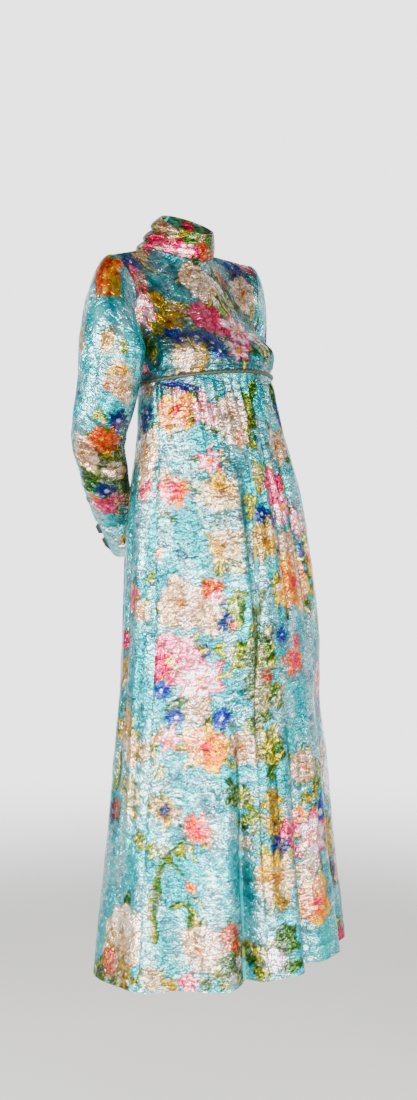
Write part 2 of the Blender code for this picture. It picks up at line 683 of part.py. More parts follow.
def slide_fastener(bodice_edge):
    """Strip of teeth that fills the centre back opening, its slider at the top and the pull on it."""
    line = zip_line(bodice_edge)
    along = np.gradient(line, axis=0)
    away = unit(np.stack([0.0 * along[:, 0], -along[:, 2], along[:, 1]], axis=-1))
    half = np.array((ZIP_WIDTH / 2.0, 0.0, 0.0))
    face = line - away * (CLOTH - ZIP_CLOTH) / 2.0
    outer = np.stack([face - half, face + half], axis=1)
    wall("back_zip", outer, outer - away[:, None] * ZIP_CLOTH, TAPE)
    down = unit(line[2] - line[1])
    seat = line[1] + away[1] * GAP
    bar("back_zip_slider", seat, away[1] * SLIDER_DEPTH, down * SLIDER_HEIGHT, SLIDER_WIDTH)
    seat = seat + away[1] * (SLIDER_DEPTH + GAP)
    bar("back_zip_pull", seat, away[1] * PULL_DEPTH, down * PULL_LENGTH, PULL_WIDTH)


def bar(name, corner, depth, length, width):
    """Rectangular bar across the centre back."""
    profile = np.array([corner, corner + depth, corner + depth + length, corner + length])
    half = np.array((width / 2.0, 0.0, 0.0))
    prism(name, profile - half, profile + half, METAL)


front_bodice()
centre_back_edge = back_bodice()
skirt_panels()
collar()
sleeve("sleeve_right", RIGHT_ARM, RIGHT_WRIST, False)
sleeve("sleeve_left", LEFT_ARM, LEFT_WRIST, True)
cuff("right", RIGHT_ARM, RIGHT_WRIST, False)
cuff("left", LEFT_ARM, LEFT_WRIST, True)
piping()
slide_fastener(centre_back_edge)
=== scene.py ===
"""Worn maxi dress in turquoise lame brocade with a printed flower garden.

Metres, +Z up. The front faces -Y, the wearer's right is -X, and the origin is the centre of the neck base.
"""

import bpy
import numpy as np
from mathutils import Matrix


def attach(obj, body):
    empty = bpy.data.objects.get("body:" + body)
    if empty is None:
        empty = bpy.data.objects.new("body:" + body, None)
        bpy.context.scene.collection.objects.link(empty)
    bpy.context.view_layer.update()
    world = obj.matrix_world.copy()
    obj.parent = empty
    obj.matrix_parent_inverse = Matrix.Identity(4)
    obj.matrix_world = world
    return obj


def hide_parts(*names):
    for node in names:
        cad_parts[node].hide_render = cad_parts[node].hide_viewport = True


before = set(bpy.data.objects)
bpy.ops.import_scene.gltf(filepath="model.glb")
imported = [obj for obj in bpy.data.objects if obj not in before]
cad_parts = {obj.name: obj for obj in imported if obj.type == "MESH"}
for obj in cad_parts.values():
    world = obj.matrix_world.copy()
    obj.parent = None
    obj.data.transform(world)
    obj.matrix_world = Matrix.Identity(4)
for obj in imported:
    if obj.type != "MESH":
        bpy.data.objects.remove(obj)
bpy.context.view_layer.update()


# PIPING OF THE EMPIRE SEAM
# A cotton cord in a bias strip of olive satin, caught between the bodice and the skirt.
# It runs from one side of the back zip round the front to the other, and dips towards the back.
WAIST_BACK = -0.2465
WAIST_RISE = 0.0255
SEAM_GAP = 0.0003
ZIP_WIDTH = 0.0060
CLOTH = 0.0020
# Radius of the solid cord and of the corded strip, and how far the strip stands out past the solid
CORD_RADIUS = 0.0027
CORD_ROUND = 0.0035
CORD_PROUD = 0.0013
CORD_RINGS = 261
CORD_SIDES = 12
# Turns round the body are in degrees: 0 at the wearer's left, 90 at the centre back, 270 at the centre front
BACK_TURN = 90.0
# What a vector is multiplied by to lose its height
LEVEL = (1.0, 1.0, 0.0)

# z, centre x, centre y, half width and half depth of the body of the dress, from the empire seam to the hem
SKIRT_LEVELS = np.array([
    (-0.200, 0.000, -0.062, 0.137, 0.093),
    (-0.235, 0.000, -0.065, 0.137, 0.095),
    (-0.340, 0.006, -0.075, 0.148, 0.114),
    (-0.450, 0.013, -0.080, 0.168, 0.135),
    (-0.550, 0.018, -0.082, 0.179, 0.149),
    (-0.700, 0.027, -0.080, 0.189, 0.162),
    (-0.810, 0.027, -0.075, 0.193, 0.167),
    (-0.920, 0.027, -0.077, 0.203, 0.178),
    (-1.060, 0.027, -0.076, 0.213, 0.189),
    (-1.170, 0.027, -0.077, 0.223, 0.201),
    (-1.300, 0.027, -0.078, 0.236, 0.214),
])
WAIST_MIDDLE = (0.0, SKIRT_LEVELS[1, 2], 0.0)


def unit(vectors):
    """Each vector divided by its length."""
    return vectors / np.linalg.norm(vectors, axis=-1, keepdims=True)


def spline(where, knots, values, closed=False):
    """Cubic curve through the values at the knots, with slopes from each knot's neighbours."""
    knots = np.asarray(knots, float)
    values = np.asarray(values, float)
    if closed:
        span = knots[-1] + knots[1] - 2.0 * knots[0]
        knots = np.concatenate([knots - span, knots, knots + span])
        values = np.concatenate([values, values, values])
    slopes = np.gradient(values, knots, axis=0)
    where = np.asarray(where, float)
    left = np.clip(np.searchsorted(knots, where, side="right") - 1, 0, len(knots) - 2)
    width = (knots[left + 1] - knots[left])[..., None]
    share = (where - knots[left])[..., None] / width
    return (
        (2 * share**3 - 3 * share**2 + 1) * values[left]
        + (share**3 - 2 * share**2 + share) * width * slopes[left]
        + (3 * share**2 - 2 * share**3) * values[left + 1]
        + (share**3 - share**2) * width * slopes[left + 1]
    )


def section(angle, z):
    """Ellipse of the body at height z: centre + half width cos(angle), half depth sin(angle)."""
    x, y, half_width, half_depth = np.moveaxis(spline(-z, -SKIRT_LEVELS[:, 0], SKIRT_LEVELS[:, 1:]), -1, 0)
    turn = np.radians(angle)
    return np.stack([x + half_width * np.cos(turn), y + half_depth * np.sin(turn), z + 0.0 * turn], axis=-1)


def waist(angle):
    """Empire seam: its height rises from the back to the front with the square of (1 - sin(angle)) / 2."""
    front = (1.0 - np.sin(np.radians(angle))) / 2.0
    return section(angle, WAIST_BACK + WAIST_RISE * front**2)


def hex_colour(code):
    """sRGB hex code as a linear colour: ((c + 0.055) / 1.055) ** 2.4 above the dark toe."""
    share = np.array([int(code[i : i + 2], 16) for i in (0, 2, 4)]) / 255.0
    return np.where(share > 0.04045, ((share + 0.055) / 1.055) ** 2.4, share / 12.92)


def plug(node, sockets):
    """Sets sockets, a list from the first one on or a dictionary. Each takes a number, a hex colour, another
    node's output, or a node for its first output."""
    for key, value in sockets.items() if isinstance(sockets, dict) else enumerate(sockets):
        if isinstance(value, bpy.types.Node):
            value = value.outputs[0]
        if isinstance(value, bpy.types.NodeSocket):
            node.id_data.links.new(value, node.inputs[key])
        else:
            node.inputs[key].default_value = (*hex_colour(value), 1.0) if isinstance(value, str) else value


def add_node(tree, kind, sockets=(), **settings):
    """Adds a shader node with its settings and what its sockets take."""
    made = tree.nodes.new("ShaderNode" + kind)
    for key, value in settings.items():
        setattr(made, key, value)
    plug(made, sockets)
    return made


def new_material(name):
    """A material with its Principled shader, the tree it is in and no other node than the output."""
    made = bpy.data.materials.new(name)
    made.use_nodes = True
    return made, made.node_tree, made.node_tree.nodes["Principled BSDF"]


def sew_on(name, verts, faces, materials, nodes, sharp=50.0):
    """Makes a smooth piece from points and faces. It rides on the dress and stands for its CAD nodes."""
    mesh = bpy.data.meshes.new(name)
    mesh.from_pydata(verts.tolist(), [], faces)
    for mat in materials:
        mesh.materials.append(mat)
    mesh.shade_smooth()
    mesh.set_sharp_from_angle(angle=np.radians(sharp))
    piece = bpy.data.objects.new(name, mesh)
    bpy.context.collection.objects.link(piece)
    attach(piece, "root")
    if nodes:
        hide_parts(*nodes)
    return piece


def set_uv(mesh, name, places):
    """UV map of one place for each vertex."""
    corner = np.empty(len(mesh.loops), np.int32)
    mesh.loops.foreach_get("vertex_index", corner)
    mesh.uv_layers.new(name=name).data.foreach_set("uv", places[corner].astype(np.float32).ravel())


def tube(points, radius, sides):
    """Round tube along a line: circles of the radius, square to the line's direction, with flat ends."""
    along = unit(np.gradient(points, axis=0))
    up = unit(np.array((0.0, 0.0, 1.0)) - along * along[:, 2:])
    side = np.cross(along, up)
    turn = 2.0 * np.pi * np.arange(sides)[None, :, None] / sides
    rings = points[:, None] + (np.cos(turn) * up[:, None] + np.sin(turn) * side[:, None]) * radius
    index = np.arange(len(points) * sides).reshape(-1, sides)
    ahead = np.roll(index, -1, axis=1)
    faces = np.stack([index[:-1], ahead[:-1], ahead[1:], index[1:]], axis=-1).reshape(-1, 4).tolist()
    return rings.reshape(-1, 3), faces + [index[0, ::-1].tolist(), index[-1].tolist()]


def lengths_along(points):
    """Length of the line through the points, from the first to each of them."""
    return np.concatenate([[0.0], np.cumsum(np.linalg.norm(np.diff(points, axis=0), axis=1))])


def ribbed_cloth_painted_light(name, dark, light, roughness, strength, height, waves, **settings):
    """Woven cloth with ribs in the shape of a wave, painted dark between them as shade and light on top as a
    highlight.
    """
    made, tree, shader = new_material(name)
    place = add_node(tree, "UVMap", uv_map="flat")
    ribs = add_node(tree, "TexWave", {"Vector": place, **waves}, **settings)
    # Painted light and shade: each rib is coloured light on its top and dark in the hollow beside it
    tint = add_node(tree, "Mix", {0: ribs, 6: dark, 7: light}, data_type="RGBA")
    relief = add_node(tree, "Bump", {"Height": ribs, "Strength": strength, "Distance": height})
    plug(shader, {"Base Color": tint.outputs[2], "Normal": relief, "Roughness": roughness})
    return made


# Satin-weave rayon cut on the bias: a soft broad sheen across slanting ribs, darker between them, both
# painted into its colour as highlight and shade. The ribs of 0.8 mm are drawn 7 mm apart to show, as the
# twist of the cord
olive_satin = ribbed_cloth_painted_light("olive_bias_satin_woven", "0E1006", "30331A", 0.55, 0.5, 0.0006,
                           {"Scale": 64.0, "Distortion": 1.5, "Detail": 1.0}, bands_direction="DIAGONAL")

half_zip = np.degrees((ZIP_WIDTH / 2.0 + SEAM_GAP) / SKIRT_LEVELS[1, 3])
cord_line = waist(np.linspace(BACK_TURN + half_zip, BACK_TURN + 360.0 - half_zip, CORD_RINGS))
cord_line -= unit((WAIST_MIDDLE - cord_line) * LEVEL) * CORD_PROUD
verts, faces = tube(cord_line, CORD_ROUND, CORD_SIDES)
piping = sew_on("piping_cord", verts, faces, [olive_satin], ["waist_piping"])
around = 2.0 * np.pi * CORD_ROUND * np.arange(CORD_SIDES) / CORD_SIDES
places = np.broadcast_arrays(lengths_along(cord_line)[:, None], around)
set_uv(piping.data, "flat", np.stack(places, axis=-1).reshape(-1, 2))


# SKIRT
# One front panel gathered under the bust and two back panels that the zip runs down between, all flared to
# the hem. The cloth is a metallic brocade, woven with silver lame in a raised crackle and printed all over.
RIGHT_SEAM = 188.0
LEFT_SEAM = 540.0 - RIGHT_SEAM
HEM_MIDDLE = -1.268
HEM_TILT = 0.025
HEM_HIGHEST = 315.0
ZIP_END = -0.430
# Drops, 0 at the empire seam and 1 at the hem, between which the flutes of the hem grow to their full height
FLUTES_START = 0.42
FLUTES_FULL = 1.05
# Drop over which a long fold comes in, drop over which it goes, and how far a lapped fold's underside sinks
FOLD_COMES = 0.12
FOLD_GOES = 0.25
LAP_SINKS = 0.9

# turn of each crest of the hem, its height above the next trough, how far its cloth leans past the crest
HEM_FLUTES = [
    (190.0, 0.011, 0.10), (229.0, 0.044, 0.26), (261.0, 0.034, 0.26), (292.0, 0.024, 0.15),
    (320.0, 0.016, 0.05), (350.0, 0.016, 0.05), (382.0, 0.016, -0.05), (412.0, 0.014, 0.05),
    (440.0, 0.012, 0.05), (468.0, 0.012, -0.05), (502.0, 0.012, -0.10),
]

# turn at the seam, at the hem, share of the drop at the start, at the end, half width in degrees, depth
SKIRT_FOLDS = [
    (241.0, 246.0, 0.00, 0.62, 13.0, 0.007), (209.0, 211.0, 0.10, 0.52, 11.0, -0.004),
    (232.0, 231.0, 0.08, 0.52, 9.0, 0.006), (252.5, 250.0, 0.14, 0.54, 7.0, -0.010),
    (217.0, 217.0, 0.06, 0.44, 3.6, -0.0055), (262.5, 236.0, 0.04, 0.62, 1.5, -0.0045),
    (288.0, 281.0, 0.02, 0.55, 12.0, -0.005), (267.0, 262.0, 0.05, 0.45, 3.2, 0.0045),
    (275.0, 268.0, 0.05, 0.52, 3.2, -0.0055), (284.0, 277.0, 0.05, 0.46, 3.2, 0.0045),
    (293.0, 286.0, 0.06, 0.52, 3.6, -0.0055), (304.0, 297.0, 0.05, 0.50, 4.5, 0.0045),
    (198.0, 199.0, 0.08, 0.50, 3.2, -0.003), (206.0, 208.0, 0.16, 0.60, 4.0, 0.003),
    (318.0, 314.0, 0.05, 0.48, 4.5, -0.005), (331.0, 328.0, 0.04, 0.44, 4.5, 0.004),
    (222.0, 223.5, 0.46, 0.98, 3.6, -0.005), (207.0, 208.5, 0.55, 0.99, 4.0, -0.004),
    (200.0, 201.0, 0.62, 0.98, 3.0, 0.003), (251.0, 252.0, 0.60, 0.99, 3.4, 0.005),
    (258.0, 259.0, 0.55, 0.96, 2.6, -0.005), (284.0, 283.0, 0.50, 0.98, 3.6, 0.005),
    (277.0, 276.0, 0.58, 0.98, 2.6, -0.004), (20.0, 20.0, 0.10, 0.70, 9.0, -0.006),
    (44.0, 42.0, 0.05, 0.60, 7.0, 0.005), (66.0, 64.0, 0.16, 0.80, 6.0, -0.005),
    (110.0, 112.0, 0.15, 0.75, 7.0, -0.005), (132.0, 134.0, 0.06, 0.62, 7.0, 0.005),
    (158.0, 156.0, 0.12, 0.80, 8.0, -0.006), (174.0, 172.0, 0.20, 0.90, 5.0, 0.004),
]

# turn at the seam, half width in degrees, depth of a gather in mm, drop at which it has faded
GATHERS = [
    (193.0, 2.0, -1.4, 0.07), (197.0, 2.4, 1.8, 0.05), (203.0, 2.6, -2.2, 0.12), (207.5, 2.6, 2.6, 0.08),
    (212.5, 2.4, -3.0, 0.06), (217.0, 2.6, 3.2, 0.12), (221.5, 2.0, -3.4, 0.10), (225.5, 2.2, 3.4, 0.16),
    (229.5, 1.8, -3.2, 0.09), (233.0, 2.2, 3.6, 0.13), (237.0, 1.8, -3.6, 0.17), (240.5, 1.8, 2.8, 0.08),
    (244.0, 2.0, -3.6, 0.20), (248.0, 2.2, 3.8, 0.14), (252.0, 1.8, -3.0, 0.09), (255.5, 2.2, 3.4, 0.12),
    (259.5, 2.0, -3.6, 0.18), (263.5, 2.2, 3.6, 0.11), (267.5, 1.8, -3.2, 0.20), (271.5, 2.0, 3.0, 0.09),
    (275.5, 2.2, -3.2, 0.12), (280.0, 2.4, 3.4, 0.15), (284.5, 2.0, -3.0, 0.09), (289.0, 2.2, 3.0, 0.12),
    (294.0, 2.4, -3.2, 0.16), (299.0, 2.6, 3.0, 0.11), (304.5, 2.4, -2.8, 0.08), (310.0, 2.8, 2.8, 0.13),
    (316.0, 2.6, -2.6, 0.10), (322.0, 2.8, 2.4, 0.09), (328.5, 2.8, -2.2, 0.12), (335.0, 3.0, 2.0, 0.08),
    (342.0, 3.0, -1.4, 0.06),
]

# turn where the cloth folds back, turn of its move to the hem, drop at the start, drop at full depth, depth
# in mm, degrees of the long slope before it, degrees of the steep side after it
LAPPED_FOLDS = [
    (236.0, 1.5, 0.52, 0.92, 22.0, 11.0, 2.2), (267.5, -0.5, 0.55, 0.90, 18.0, 11.0, 2.2),
    (246.0, 1.0, 0.10, 0.30, 6.0, 7.0, 2.0),
]

# How many places of a lattice random values are drawn for. They are primes, so that no repeat shows
LATTICE = (97, 89)


def ramp(value, start, end):
    """0 below start, 1 above end, and a smooth S between them: t * t * (3 - 2 t)."""
    share = np.clip((value - start) / (end - start), 0.0, 1.0)
    return share * share * (3.0 - 2.0 * share)


def bump(distance):
    """1 at no distance, 0 beyond a distance of 1, and cos squared between them."""
    return np.cos(np.pi * np.clip(distance, -1.0, 1.0) / 2.0) ** 2


def skirt_folds(angle, drop):
    """How far the cloth stands out: cos(2 pi (p + lean sin(pi p) ** 2)) between the hem's crests, where p
    runs from 0 to 1, then long folds, lapped folds and gathers."""
    first = HEM_FLUTES[0]
    crests, heights, lean = np.array(HEM_FLUTES + [(first[0] + 360.0, *first[1:])]).T
    spot = (angle - crests[0]) % 360.0 + crests[0]
    phase = np.interp(spot, crests, np.arange(len(crests)))
    leaning = lean[np.clip(phase.astype(int), 0, len(lean) - 1)] * np.sin(np.pi * phase) ** 2
    wave = np.cos(2.0 * np.pi * (phase + leaning))
    out = wave * np.interp(spot, crests, heights) / 2.0 * ramp(drop, FLUTES_START, FLUTES_FULL)
    for at_seam, at_hem, start, end, half_width, depth in SKIRT_FOLDS:
        middle = at_seam + (at_hem - at_seam) * drop
        fade = ramp(drop, start, start + FOLD_COMES) * (1.0 - ramp(drop, end - FOLD_GOES, end))
        off = (angle - middle + 180.0) % 360.0 - 180.0
        out = out + depth * fade * bump(off / half_width)
    for edge, move, start, full, depth, slope, steep in LAPPED_FOLDS:
        past = angle - edge - move * ramp(drop, start, 1.0)
        under = ramp(past, 0.0, steep)
        lap = ramp(past, -slope, 0.0) * (1.0 - under) - LAP_SINKS * under * (1.0 - ramp(past, steep, slope))
        out = out + 0.0005 * depth * lap * ramp(drop, start, full)
    for at_seam, half_width, depth, end in GATHERS:
        fade = ramp(drop, 0.0, 0.02) * (1.0 - ramp(drop, end * 0.3, end))
        out = out + 0.001 * depth * fade * bump((angle - at_seam) / half_width)
    return out


def skirt(angle, drop):
    """Outer face of the skirt, section + folds: drop is 0 at the empire seam and 1 at the hem."""
    top = waist(angle)[..., 2] - CORD_RADIUS - SEAM_GAP
    hem = HEM_MIDDLE + HEM_TILT * np.cos(np.radians(angle - HEM_HIGHEST))
    turn = np.radians(angle)
    away = np.stack([np.cos(turn), np.sin(turn), 0.0 * turn], axis=-1)
    return section(angle, top + (hem - top) * drop) + away * skirt_folds(angle, drop)[..., None]


def inward(grid):
    """Unit vectors square to a grid of points, from its steps along columns and rows, on the body's side."""
    inside = unit(np.cross(np.gradient(grid, axis=1), np.gradient(grid, axis=0)))
    return inside * np.sign(np.sum(inside * (WAIST_MIDDLE - grid) * LEVEL))


def flat_places(grid, column):
    """Where each point of a grid lies on the cut cloth: the length along its row from a column, and the
    length down its column."""
    across = np.linalg.norm(np.diff(grid, axis=1), axis=-1)
    along = np.linalg.norm(np.diff(grid, axis=0), axis=-1)
    u = np.concatenate([np.zeros((len(grid), 1)), np.cumsum(across, axis=1)], axis=1)
    v = np.concatenate([np.zeros((1, grid.shape[1])), np.cumsum(along, axis=0)])
    return np.stack([u - u[:, column : column + 1], v], axis=-1)


def from_sides(flat):
    """How far each point of a panel is from the nearer of its two side edges."""
    return np.minimum(flat[..., 0] - flat[:, :1, 0], flat[:, -1:, 0] - flat[..., 0])


def creased(flat, table):
    """Height of the creases: along each line between two flat places, bowed to one side, a cos squared hump
    across it that fades in and out at its ends. The table is in mm: u, v, u, v, bow, half width, height."""
    height = np.zeros(flat.shape[:2])
    for u0, v0, u1, v1, bow, half_width, tall in np.array(table) / 1000.0:
        length = np.hypot(u1 - u0, v1 - v0)
        along = ((flat[..., 0] - u0) * (u1 - u0) + (flat[..., 1] - v0) * (v1 - v0)) / length**2
        off = ((flat[..., 0] - u0) * (v1 - v0) - (flat[..., 1] - v0) * (u1 - u0)) / length
        off = off - 4.0 * bow * along * (1.0 - along)
        fade = ramp(along, 0.0, 0.3) * (1.0 - ramp(along, 0.7, 1.0))
        height += tall * fade * bump(off / half_width)
    return height


def grain(u, v, size, seed):
    """Even noise between -1 and 1: random values on a square lattice of the size, joined by S curves."""
    values = np.random.default_rng(seed).uniform(-1.0, 1.0, LATTICE)
    i, j = np.floor(u / size).astype(int), np.floor(v / size).astype(int)
    a, b = ramp(u / size - i, 0.0, 1.0), ramp(v / size - j, 0.0, 1.0)
    near, far, low, high = i % LATTICE[0], (i + 1) % LATTICE[0], j % LATTICE[1], (j + 1) % LATTICE[1]
    low = values[near, low] * (1.0 - a) + values[far, low] * a
    high = values[near, high] * (1.0 - a) + values[far, high] * a
    return low * (1.0 - b) + high * b


# kind: petals, rings, half width of a petal in shares of its length, colours of tip, petal, base and heart
BLOOMS = {
    "cream_peony": (9, 5, 0.44, "FFF6E2", "F3DDBA", "B07848", "D98A3C"),
    "beige_peony": (10, 5, 0.40, "F0D8BE", "D9B390", "8E6444", "B06A30"),
    "white_peony": (8, 4, 0.46, "FFFFFF", "F6ECF0", "B29AA8", "E8B45C"),
    "pink_peony": (7, 4, 0.50, "FFC0D0", "EE4A80", "BC0C44", "F6D25C"),
    "pink_lily": (6, 1, 0.27, "F0427C", "FFEDF0", "E83068", "F4CE52"),
    "rose_lily": (6, 2, 0.36, "E02058", "F0447A", "9C0C34", "F4A8B8"),
    "gold_daisy": (15, 2, 0.15, "F4DA3C", "D8A81C", "8A6410", "4E400C"),
    "pink_heart_daisy": (18, 2, 0.13, "F8E25C", "F29E2C", "E84474", "D01458"),
    "cream_mum": (18, 4, 0.15, "FFF2AC", "F2C654", "A87420", "94541C"),
    "orange_poppy": (5, 2, 0.46, "F8DC50", "F48C34", "DC4C2C", "DC1848"),
    "rust_carnation": (11, 4, 0.34, "F8823C", "DC4820", "8C1C10", "F6C048"),
    "blue_cornflower": (12, 2, 0.16, "5C88E4", "2C50B4", "141E68", "E4ECFA"),
    "navy_aster": (13, 2, 0.18, "4460B4", "1E2E74", "0A1034", "90AAE4"),
}
# kind: colours of the light half, the dark half, the rib and the edge
LEAVES = {
    "leaf": ("86982A", "2C5012", "D2D468", "0E2A08"),
    "dark_leaf": ("2C5A2A", "0C2C18", "6C963A", "04140C"),
    "gold_leaf": ("BCAE2C", "6C6C10", "ECE484", "30400A"),
    "blue_leaf": ("1E6080", "0A2C48", "74B0C4", "061420"),
}

# ground of the print: its middle, light and deep tone
TURQUOISE = ("2AA9B2", "66CBCB", "0C7C86")
# Flowers are drawn an eighth larger than the tables say, and have leaves above this half size in mm
BLOOM_GROWTH = 1.12
LEAFY_BLOOM = 18.0
SPRAY_LEAVES = 18


def turned(x, y, turn):
    """Places on axes that are turned by an angle: x cos + y sin along them and y cos - x sin beside."""
    return x * np.cos(turn) + y * np.sin(turn), y * np.cos(turn) - x * np.sin(turn)


def laid_over(motif, cover, hue):
    """Cover and colour of a motif with one more shape on top: colour * (1 - cover) + hue * cover."""
    return np.maximum(motif[0], cover), motif[1] * (1.0 - cover[:, None]) + hue * cover[:, None]


def bloom(kind, x, y, size, seed):
    """Cover and colour of a flower, petal over petal from the outer ring inwards. A large one has two to six
    leaves behind it. A petal is streaked, with a darker edge, and its half width along its length s is
    slim * length * sin(pi s ** 0.85) ** 0.6."""
    petals, rings, slim, *hues = BLOOMS[kind]
    tip, petal, base, heart = (hex_colour(code) for code in hues)
    chance = np.random.default_rng(seed)
    flower = np.zeros(len(x)), np.zeros((len(x), 3))
    for _ in range(2 + chance.integers(5) if size > LEAFY_BLOOM else 0):
        along, beside = turned(x, y, chance.uniform(0.0, 2.0 * np.pi))
        green = ("leaf", "dark_leaf", "leaf", "gold_leaf")[chance.integers(4)]
        flower = laid_over(flower, *leaf(green, along - 0.86 * size, beside, 0.42 * size))
    for ring in range(rings):
        count = max(5, petals - 2 * ring) if rings > 2 else petals
        for number in chance.permutation(count):
            turn = 2.0 * np.pi * (number + 0.5 * ring + chance.uniform(-0.25, 0.25)) / count
            length = size * (1.0 - 0.80 * ring / rings) * chance.uniform(0.84, 1.04)
            along, across = turned(x, y, turn)
            along, across = along / length, across / (slim * length)
            half = np.sin(np.pi * np.clip(along, 0.0, 1.0) ** 0.85) ** 0.6
            deep = (half - np.abs(across)) * slim * length
            shade = np.clip(along + 0.12 * np.cos(9.0 * across + 11.0 * along), 0.0, 1.0)[:, None]
            hue = base + (petal - base) * ramp(shade, 0.10, 0.48) + (tip - petal) * ramp(shade, 0.55, 0.92)
            rim = (1.0 - ramp(deep, 0.8, 2.2 + 0.045 * size))[:, None] * 0.85
            flower = laid_over(flower, ramp(deep, -1.2, 0.8), hue * (1.0 - rim) + base * rim)
    middle = 1.0 - ramp(np.hypot(x, y), 0.12 * size, 0.20 * size)
    middle = (middle * (0.8 + 0.2 * np.cos(np.arctan2(y, x) * 9.0)))[:, None]
    return flower[0], flower[1] * (1.0 - middle) + heart * middle


def leaf(kind, x, y, size):
    """Cover and colour of a veined leaf that points along x, half light, half dark, with a darker edge. Its
    half width is 0.36 size * sin(pi s) ** 0.8 * (1 + 0.07 cos(60 s)) along its length s."""
    light, dark, rib, edge = (hex_colour(code) for code in LEAVES[kind])
    share = np.clip((x / size + 1.0) / 2.0, 0.0, 1.0)
    across = y + 0.12 * size * np.sin(np.pi * share)
    half = 0.36 * size * np.sin(np.pi * share) ** 0.8 * (1.0 + 0.07 * np.cos(share * 60.0))
    cover = 1.0 - ramp(np.abs(across), half - 1.0, half + 1.0)
    cover = cover * (np.abs(x) < size)
    hue = np.where((across > 0.0)[:, None], light, dark)
    vein = 0.3 * bump(((x - 1.2 * np.abs(across)) % (0.22 * size)) / (0.05 * size))[:, None]
    hue = hue + (rib - hue) * np.maximum(vein, bump(across / 1.8)[:, None])
    outline = ramp(np.abs(across), half - 3.0, half)[:, None] * 0.7
    return cover, hue + (edge - hue) * outline


def stem(kind, x, y, size):
    """Cover and colour of a bowed stalk along x, with rounded ends, lighter on one side. Its half width is a
    seventh of its half length, a quarter more at one end and a quarter less at the other."""
    light, dark = (hex_colour(code) for code in LEAVES[kind][:2])
    across = y - 0.10 * size * (1.0 - (x / size) ** 2)
    rounded = np.clip(1.0 - (x / size) ** 6, 0.0, 1.0) ** 0.5
    half = np.clip(size / 7.0, 3.0, 9.0) * (1.0 + 0.25 * x / size) * rounded
    cover = (1.0 - ramp(np.abs(across), half - 1.0, half + 1.0)) * (np.abs(x) < size)
    return cover, dark + (light - dark) * 0.7 * ramp(across, -0.2 * half, 1.4 * half)[:, None]


def spray(kind, x, y, size, seed):
    """Cover and colour of a cluster: eighteen leaves fanned at random round the middle, each about half its
    size. A plain spray mixes its leaves, and the others say which leaf they are of."""
    chance = np.random.default_rng(seed)
    cluster = np.zeros(len(x)), np.zeros((len(x), 3))
    for _ in range(SPRAY_LEAVES):
        turn = chance.uniform(-1.3, 1.3)
        out, aside = chance.uniform(-0.75, 0.75) * size, chance.uniform(-0.45, 0.45) * size
        along, beside = turned(x - out, y - aside, turn)
        name = kind.removeprefix("spray_")
        if kind == "spray":
            name = ("leaf", "dark_leaf", "gold_leaf", "leaf")[chance.integers(4)]
        half = max(8.0, size * chance.uniform(0.36, 0.66))
        cluster = laid_over(cluster, *leaf(name, along, beside, half))
    return cluster


def sown(left, right, top, bottom, gap, seed):
    """More of the same garden in mm for cloth whose print isn't known: a leafy spray and up to two flowers
    near every place of a lattice, moved at random by up to a third of its gap."""
    chance = np.random.default_rng(seed)
    kinds = list(BLOOMS)
    sprays = ("spray", "spray_gold_leaf", "spray_dark_leaf", "spray_leaf")
    found = []
    for u in np.arange(left + gap / 2.0, right, gap):
        for v in np.arange(top + gap / 2.0, bottom, gap):
            spot = np.array((u, v)) + chance.uniform(-0.34, 0.34, 2) * gap
            leaves = sprays[chance.integers(4)]
            place = spot + chance.uniform(-0.3, 0.3, 2) * gap
            found.append((leaves, *place, gap * 0.36, chance.uniform(0, 360)))
            for _ in range(chance.integers(3) if chance.random() < 0.8 else 0):
                place = spot + chance.uniform(-0.35, 0.35, 2) * gap
                kind = kinds[chance.integers(len(kinds))]
                found.append((kind, *place, gap * chance.uniform(0.22, 0.56), 0.0))
    return found


def printed(flat, garden, ground, seed):
    """Colour of every point of a panel: the ground in three tones of noise, then each motif of the garden in
    turn. A motif is a kind, its place on the flat cloth and its half size in mm, and its turn in degrees."""
    u, v = flat[..., 0].ravel() * 1000.0, flat[..., 1].ravel() * 1000.0
    u, v = (
        u + 2.6 * grain(u, v, 13.0, seed) + 1.2 * grain(u, v, 5.0, seed + 1),
        v + 2.6 * grain(u, v, 13.0, seed + 2) + 1.2 * grain(u, v, 5.0, seed + 3),
    )
    middle, light, deep = (hex_colour(code) for code in ground)
    tone = 0.6 * grain(u, v, 34.0, seed + 4) + 0.5 * grain(u, v, 9.0, seed + 5)
    colour = middle + (light - middle) * ramp(tone, 0.0, 0.7)[:, None]
    colour = colour + (deep - colour) * ramp(-tone, 0.1, 0.8)[:, None]
    for number, (kind, u0, v0, size, turn) in enumerate(garden):
        size = size * (BLOOM_GROWTH if kind in BLOOMS else 1.0)
        near = np.flatnonzero((np.abs(u - u0) < 1.25 * size) & (np.abs(v - v0) < 1.25 * size))
        if not len(near):
            continue
        x, y = turned(u[near] - u0, v[near] - v0, np.radians(turn))
        if kind in BLOOMS:
            cover, hue = bloom(kind, x, y, size, number)
        elif kind.startswith("spray"):
            cover, hue = spray(kind, x, y, size, seed + number)
        elif kind.startswith("stem_"):
            cover, hue = stem(kind.removeprefix("stem_"), x, y, size)
        else:
            cover, hue = leaf(kind, x, y, size)
        colour[near] = laid_over((0.0, colour[near]), cover, hue)[1]
    brush = 1.0 + 0.10 * grain(u, v, 3.5, seed + 6) + 0.08 * grain(u, v * 0.4, 7.0, seed + 7)
    return np.clip(colour * brush[:, None], 0.0, 1.0)


def loose(flat, seed):
    """Height of the cloth's soft undulations between its seams: two sizes of noise, 0.9 and 0.4 mm high."""
    u, v = flat[..., 0], flat[..., 1]
    tall = 0.9 * grain(u, v, 0.034, seed) + 0.4 * grain(u, v, 0.015, seed + 1)
    return 0.001 * tall * ramp(np.minimum(from_sides(flat), np.minimum(v, v.max() - v)), 0.002, 0.020)


